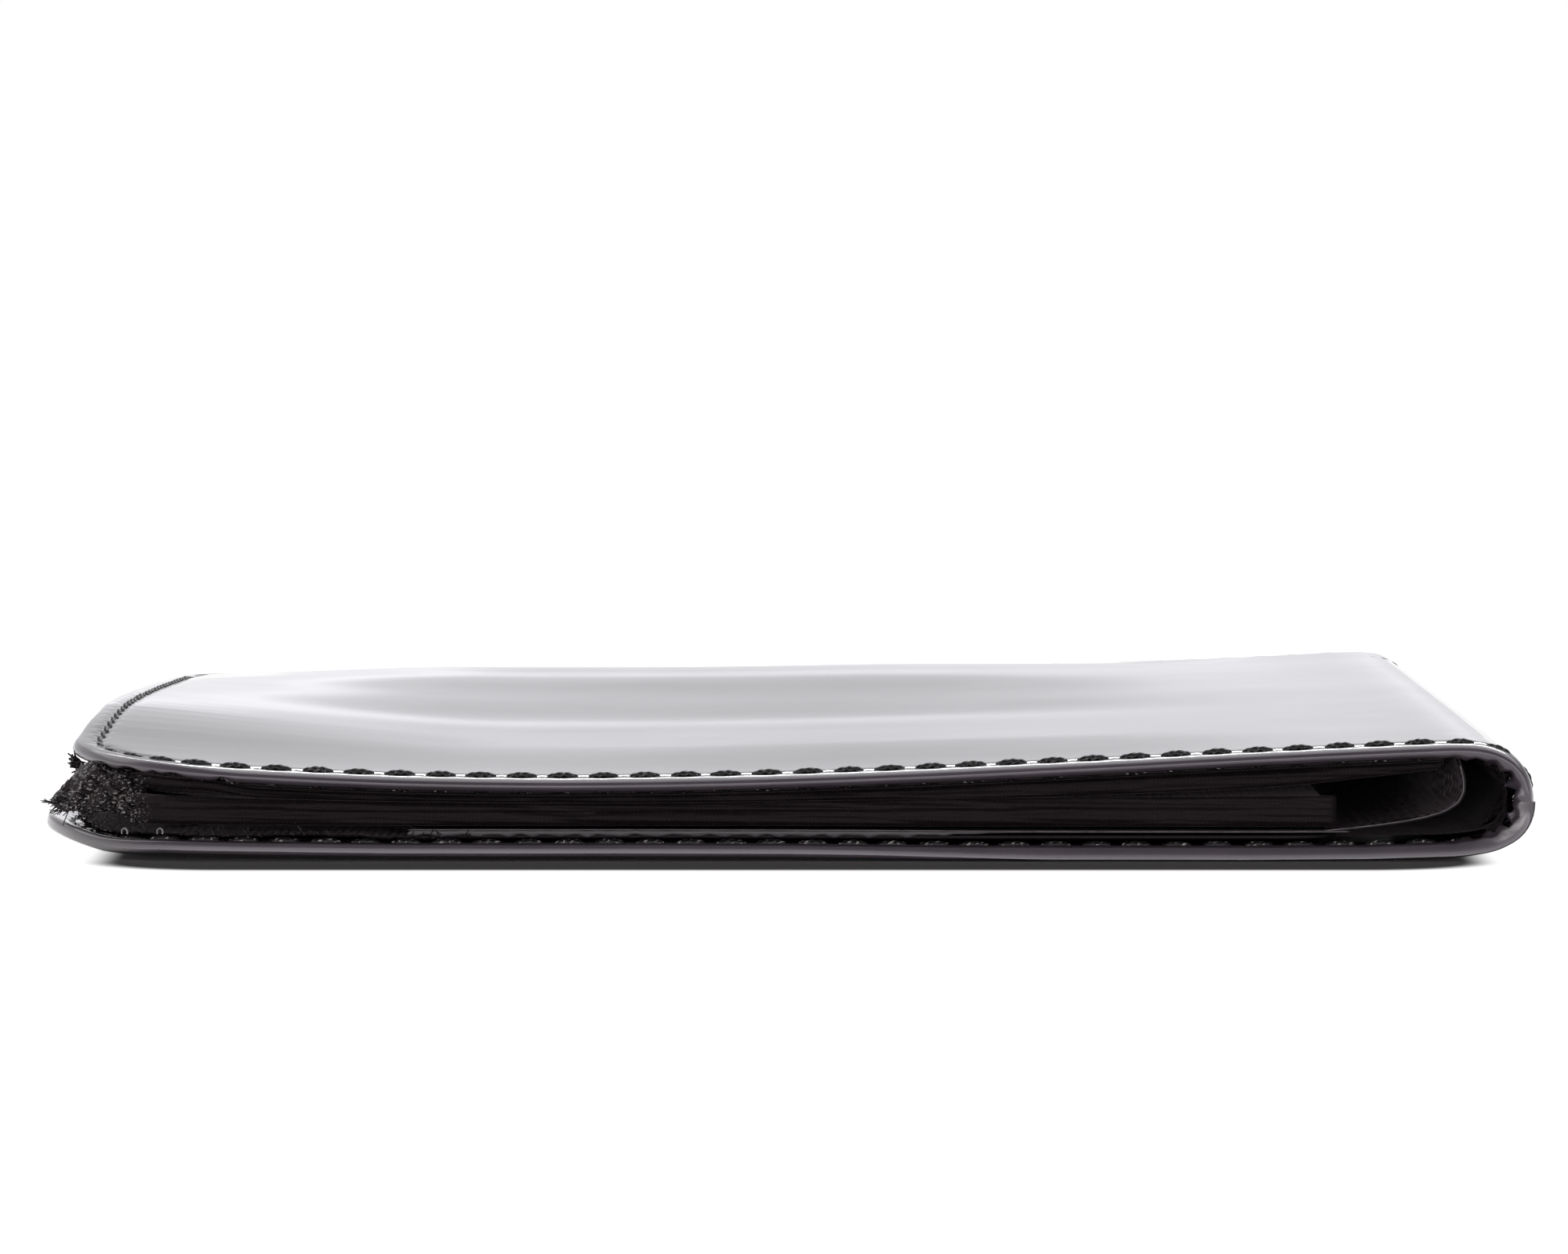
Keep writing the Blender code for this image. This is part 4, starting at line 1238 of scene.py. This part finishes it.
def make_leaf_edge():
    """The leaf's bound edge, scalloped below and thinner towards the hinge, and its bright top line."""
    x_end = X_HINGE + 0.6
    turns = np.linspace(0, 2 * math.pi, 12, endpoint=False) + math.pi / 12
    for name, reach, look in (("leaf_edge", 0.16, dull_edge), ("leaf_edge_line", 0.2, cut_edge)):
        y = Y_INNER - 0.03 + reach / 2 * (bowed(np.cos(turns), 0.5) - 1)
        rings = []
        for x in np.linspace(X_FREE, x_end, 330):
            to_hinge = ramp(x, *LEAF_EDGE_CHANGE_X)
            scallop = SCALLOP * abs(math.sin(1.55 * x + 0.8 * math.sin(0.4 * x))) + 0.03 * math.sin(5.1 * x)
            high = LEAF_EDGE_TOP[0] * (1 - to_hinge) + LEAF_EDGE_TOP[1] * to_hinge
            low = (LEAF_EDGE_LOW[0] + scallop) * (1 - to_hinge) + LEAF_EDGE_LOW[1] * to_hinge
            low, high = (high - LEAF_LINE, high) if look == cut_edge else (low, high - 0.075)
            half = max((high - low) / 2, 0.02) * end_taper(x, X_FREE, x_end, 0.15)
            z = (high + low) / 2 + leaf_rise(x, Y_NEAR) + half * bowed(np.sin(turns), 0.5)
            rings.append(station(x, y, z))
        trim(name, [rings], look, "leaf", "inner_leather")


def yarn(start, away, length, radius):
    """A loose yarn end that leaves start and curls over."""
    away = unit(away) * length
    curl = rng.normal(0, 0.45, 3) * length
    steps = np.linspace(0, 1, 7)[:, None]
    return round_tube(start - 0.15 * away + away * steps + curl * steps**2 * (1 - 0.4 * steps), radius)


def round_tube(line, radius, sides=6):
    """The rings of a round tube along a line of points, which thins towards its end."""
    turn = np.linspace(0, 2 * math.pi, sides, endpoint=False)[:, None]
    tangent = unit(np.gradient(line, axis=0))
    one = unit(np.cross(tangent, (0.31, 0.52, 0.79)))
    two = np.cross(tangent, one)
    size = radius * np.linspace(1.0, 0.55, len(line))[:, None, None]
    return line[:, None] + size * (one[:, None] * np.cos(turn) + two[:, None] * np.sin(turn))


def fray_rings():
    """The crumpled woven bundle at the open end."""
    turns = np.linspace(0, 2 * math.pi, 110, endpoint=False)
    rings = []
    for x in np.linspace(FRAY_X[0], FRAY_X[-1], 80):
        middle, half, deep = (np.interp(x, FRAY_X, row) for row in (FRAY_MIDDLE, FRAY_HALF, FRAY_DEEP))
        weave = np.sin(math.pi * turns * (half + deep) / 2 / YARN) * math.sin(math.pi * x / YARN)
        folds = sum(size * np.sin(count * turns + slant * x) for size, count, slant in FRAY_FOLDS)
        size = 1 + folds * min(half, 0.8) / half
        y = FRAY_Y + (deep * size + YARN_RELIEF * weave) * np.cos(turns)
        z = middle + (half * size + YARN_RELIEF * weave) * np.sin(turns)
        rings.append(station(x, y, z))
    return np.array(rings)


def make_fray():
    """The lining's frayed corner: the bundle with loose yarn ends, a tuft, and two loops of thread."""
    rings = fray_rings()
    trim("frayed_lining", [rings], frayed_cloth, "front")
    yarns = []
    for _ in range(FRAY_YARNS):
        i, k = int(rng.integers(0, 62)), int(rng.integers(45, 100))
        start = rings[i, k]
        away = start - np.array([start[0] + 0.6, FRAY_Y, np.interp(start[0], FRAY_X, FRAY_MIDDLE)])
        away = unit(away) + rng.normal(0, 0.5, 3) - (0.5, 0, 0)
        yarns.append(yarn(start, away, rng.uniform(0.3, 0.85), 0.05))
    trim("frayed_yarns", yarns, painted_glint_yarn, "front")
    yarns = []
    for _ in range(TUFT_YARNS):
        share = rng.uniform(0, 1)
        start = np.array(TUFT_LOW) * (1 - share) + np.array(TUFT_HIGH) * share
        start = start + rng.normal(0, 1, 3) * (0.1, 0.25, 0.1)
        yarns.append(yarn(start, rng.normal(0, 1, 3) - (0.3, 0, 0), rng.uniform(0.3, 0.55), 0.085))
    trim("frayed_tuft", yarns, tuft_look, "front")
    turns = np.linspace(-0.6, math.pi + 0.6, 11)
    arch = station(0.19 * np.cos(turns), LOOPS_Y, LOOPS_Z + 0.24 * np.sin(turns))
    # The loops are pale, a painted highlight for glints of the thread
    loops = [round_tube(arch + (x, 0, 0), 0.07) for x in LOOPS_X]
    trim("thread_loops", loops, painted_glint_loops, "back", "sewing_thread")


def make_hem_lining():
    """The crept lining, with a ragged edge that loose yarns leave."""
    border = Border(X_OPEN, U_MIDDLE, Y_NEAR, Y_FAR, CORNER_RADIUS, STITCH_INSET)
    surface = cover_surface(-1)
    start, end = border.straight - CREPT_NEAR, border.to_open + CREPT_FAR
    across = np.linspace(0, 1, 15)
    rings = []
    for along in np.linspace(start, end, 190):
        ragged = sum(size * math.sin(rate * along + turn) for size, rate, turn in RAGGED)
        first = CREPT_INSET + ragged + 6.0 * (1 - end_taper(along, start, end, 9.0))
        inset = first + (CREPT_INNER + 0.5 * math.sin(0.7 * along) - first) * across
        waves = 0.06 * np.sin(0.55 * along + 0.3 * inset) + 0.05 * np.sin(0.23 * along + 0.8 * inset)
        top = COVER_EDGE + 0.28 + waves - 0.26 * ramp(inset, HEM_WIDTH, HEM_WIDTH + 1.0)
        inset = np.concatenate([inset, inset[::-1]])
        depth = np.concatenate([top, top[::-1] - CREPT_THICKNESS])
        rings.append(surface(*border.place(np.full_like(inset, along), inset), depth))
    trim("crept_lining", [rings], crept_cloth, "back")
    yarns = []
    for _ in range(LOOSE_YARNS):
        ring = rings[int(rng.integers(20, 150))]
        spread = (rng.normal(0, 0.35), rng.normal(0, 0.35), rng.uniform(0.0, 0.8))
        away = 0.6 * unit(ring[0] - ring[7]) + spread
        yarns.append(yarn(ring[0], away, rng.uniform(0.3, 0.9), 0.045))
    trim("loose_yarns", yarns, painted_glint_yarn, "back")


make_upper_binding()
make_lower_binding()
make_leaf_edge()
make_fray()
make_hem_lining()

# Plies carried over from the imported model

LOOKS = {
    "inner_leather": inner_leather,
    "woven_lining": cloth,
    "sewing_thread": thread,
    "board": board,
    "clear_film": film,
    "cover_leather": leather,
}
for row in frame["record"]["subparts"]:
    carried = frame["nodes"][row["node"]]
    for place in carried.material_slots:
        place.material = LOOKS[row["material_slot"]]

# Floor, light and camera, with places in metres

FLOOR = 12.0
# The box round the wallet where the floor's glow is held off: it paints the reach of the shadow
PAINTED_SHADOW_CENTRE = (0.65 * MM, -4 * MM, 0)
PAINTED_SHADOW_HALF = (36.8 * MM, (DEPTH / 2 - 4) * MM, 0)

# The studio: its tones upward from the horizon, and how bright it is in front for matt and for glossy
# surfaces, at the left and overhead
STUDIO_TONES = ((0.0, 0.8), (0.05, 0.84), (0.09, 1.0), (0.145, 0.66), (0.25, 0.58), (0.6, 0.42), (1.0, 0.28))
NEAR_GLOW = 1.9
NEAR_SHINE = 1.8
LEFT_SHINE = 1.14
TOP_SHINE = 4.2
LIGHT_PLACE = (0.1, 1.0, 0.75)
LIGHT_SIZE = (1.0, 0.07)
LIGHT_POWER = 3.5
PHOTO_WIDTH = 2000
FOCAL_PIXELS = 10350
SENSOR = 36.0
CAMERA_PLACE = (0.0002, -0.5825, 0.0438)
CAMERA_PITCH = 3.11


def make_floor():
    """A floor that glows plain white further out; close to the wallet its glow is held off in a box, so the
    lamp's shade shows there and the box paints the shadow's reach.
    """
    look = Look("floor", Roughness=0.9, Specular_IOR_Level=0.0, Base_Color=(0.84, 0.81, 0.825))
    path = look.node("LightPath").outputs
    seen = look.math("MAXIMUM", path["Is Camera Ray"], look.times(path["Is Glossy Ray"], 0.8))
    # A little of the glow reaches diffuse rays, so the floor lights the wallet like a lamp
    seen = look.plus(seen, look.times(path["Is Diffuse Ray"], 0.15))
    near = look.vector("ABSOLUTE", look.vector("SUBTRACT", look.place(), PAINTED_SHADOW_CENTRE))
    past = look.vector("MAXIMUM", look.vector("SUBTRACT", near, PAINTED_SHADOW_HALF))
    away = look.vector("LENGTH", look.vector("MULTIPLY", past, (0.8, 1, 1)), output="Value")
    # No glow within the box, which paints the shadow's reach, and full glow a little further out
    whiten = look.fade(away, 5.4 * MM, 7.6 * MM, 0.0, 1.0)
    look.set(Emission_Strength=look.times(seen, whiten), Emission_Color=(1, 1, 1))
    mesh = bpy.data.meshes.new("floor")
    corners = [(-FLOOR, -FLOOR, 0), (FLOOR, -FLOOR, 0), (FLOOR, FLOOR, 0), (-FLOOR, FLOOR, 0)]
    mesh.from_pydata(corners, [], [(0, 1, 2, 3)])
    mesh.materials.append(look.material)
    add_object("floor", mesh)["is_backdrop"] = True


def make_world():
    """White behind, and a studio that is brightest low down, so that gloss shades from pale to dark."""
    world = bpy.data.worlds.new("studio")
    bpy.context.scene.world = world
    world.use_nodes = True
    world.node_tree.nodes.clear()
    sky = Nodes(world.node_tree)
    to_right, to_back, height = sky.parts(sky.place("Generated"))
    tones = sky.node("ValToRGB", [(0, sky.span(height, 0.0, 0.5, 0.0, 1.0))])
    elements = tones.color_ramp.elements
    while len(elements) < len(STUDIO_TONES):
        elements.new(0.5)
    for element, (position, tone) in zip(elements, STUDIO_TONES):
        element.position = position
        element.color = (tone, 0.99 * tone, 1.03 * tone, 1)
    toward = sky.math("MAXIMUM", sky.times(to_back, -1.6), 0.0)
    low = sky.times(sky.fade(height, 0.08, 0.2, 1.0, 0.0), toward)
    wide = sky.times(sky.fade(height, 0.35, 0.62, 1.0, 0.0), toward)
    behind = sky.span(to_back, -0.02, 0.12, 0.0, 1.0)
    overhead = sky.times(sky.fade(height, 0.42, 0.55, 0.0, TOP_SHINE), behind)
    left = sky.fade(to_right, -0.065, 0.0, LEFT_SHINE, 1.0)
    shine = sky.plus(sky.plus(sky.times(wide, NEAR_SHINE), left), overhead)
    lifted = sky.plus(sky.times(low, NEAR_GLOW), 0.03)
    plain, dim, glossy = (
        sky.node("Background", Color=colour, Strength=strength).outputs[0]
        for colour, strength in (((1, 1, 1), 1.0), ((1, 1, 1), lifted), (tones.outputs[0], shine))
    )
    path = sky.node("LightPath").outputs
    seen = sky.math("MAXIMUM", path["Is Camera Ray"], path["Is Transmission Ray"])
    lit = sky.node("MixShader", [(0, path["Is Glossy Ray"]), (1, dim), (2, glossy)]).outputs[0]
    full = sky.node("MixShader", [(0, seen), (1, lit), (2, plain)]).outputs[0]
    sky.node("OutputWorld", Surface=full)


def make_light():
    """A long narrow light behind and above, aimed at the wallet."""
    light = bpy.data.lights.new("key", "AREA")
    light.shape = "RECTANGLE"
    light.size, light.size_y = LIGHT_SIZE
    light.energy = LIGHT_POWER
    x, y, z = LIGHT_PLACE
    made = add_object("key", light)
    made.location = LIGHT_PLACE
    made.rotation_euler = (math.atan2(math.hypot(x, y), z), 0, math.atan2(x, -y))


def make_camera():
    camera = bpy.data.cameras.new("camera")
    camera.sensor_width = SENSOR
    camera.sensor_fit = "HORIZONTAL"
    camera.lens = FOCAL_PIXELS * SENSOR / PHOTO_WIDTH
    camera.clip_start = 0.01
    made = add_object("camera", camera)
    made.location = CAMERA_PLACE
    made.rotation_euler = (math.radians(90 - CAMERA_PITCH), 0, 0)
    bpy.context.scene.camera = made


make_floor()
make_world()
make_light()
make_camera()
bpy.context.scene.view_settings.view_transform = "Standard"

[[list(map(float, corner)) for corner in box] for box in (cad_box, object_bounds())]
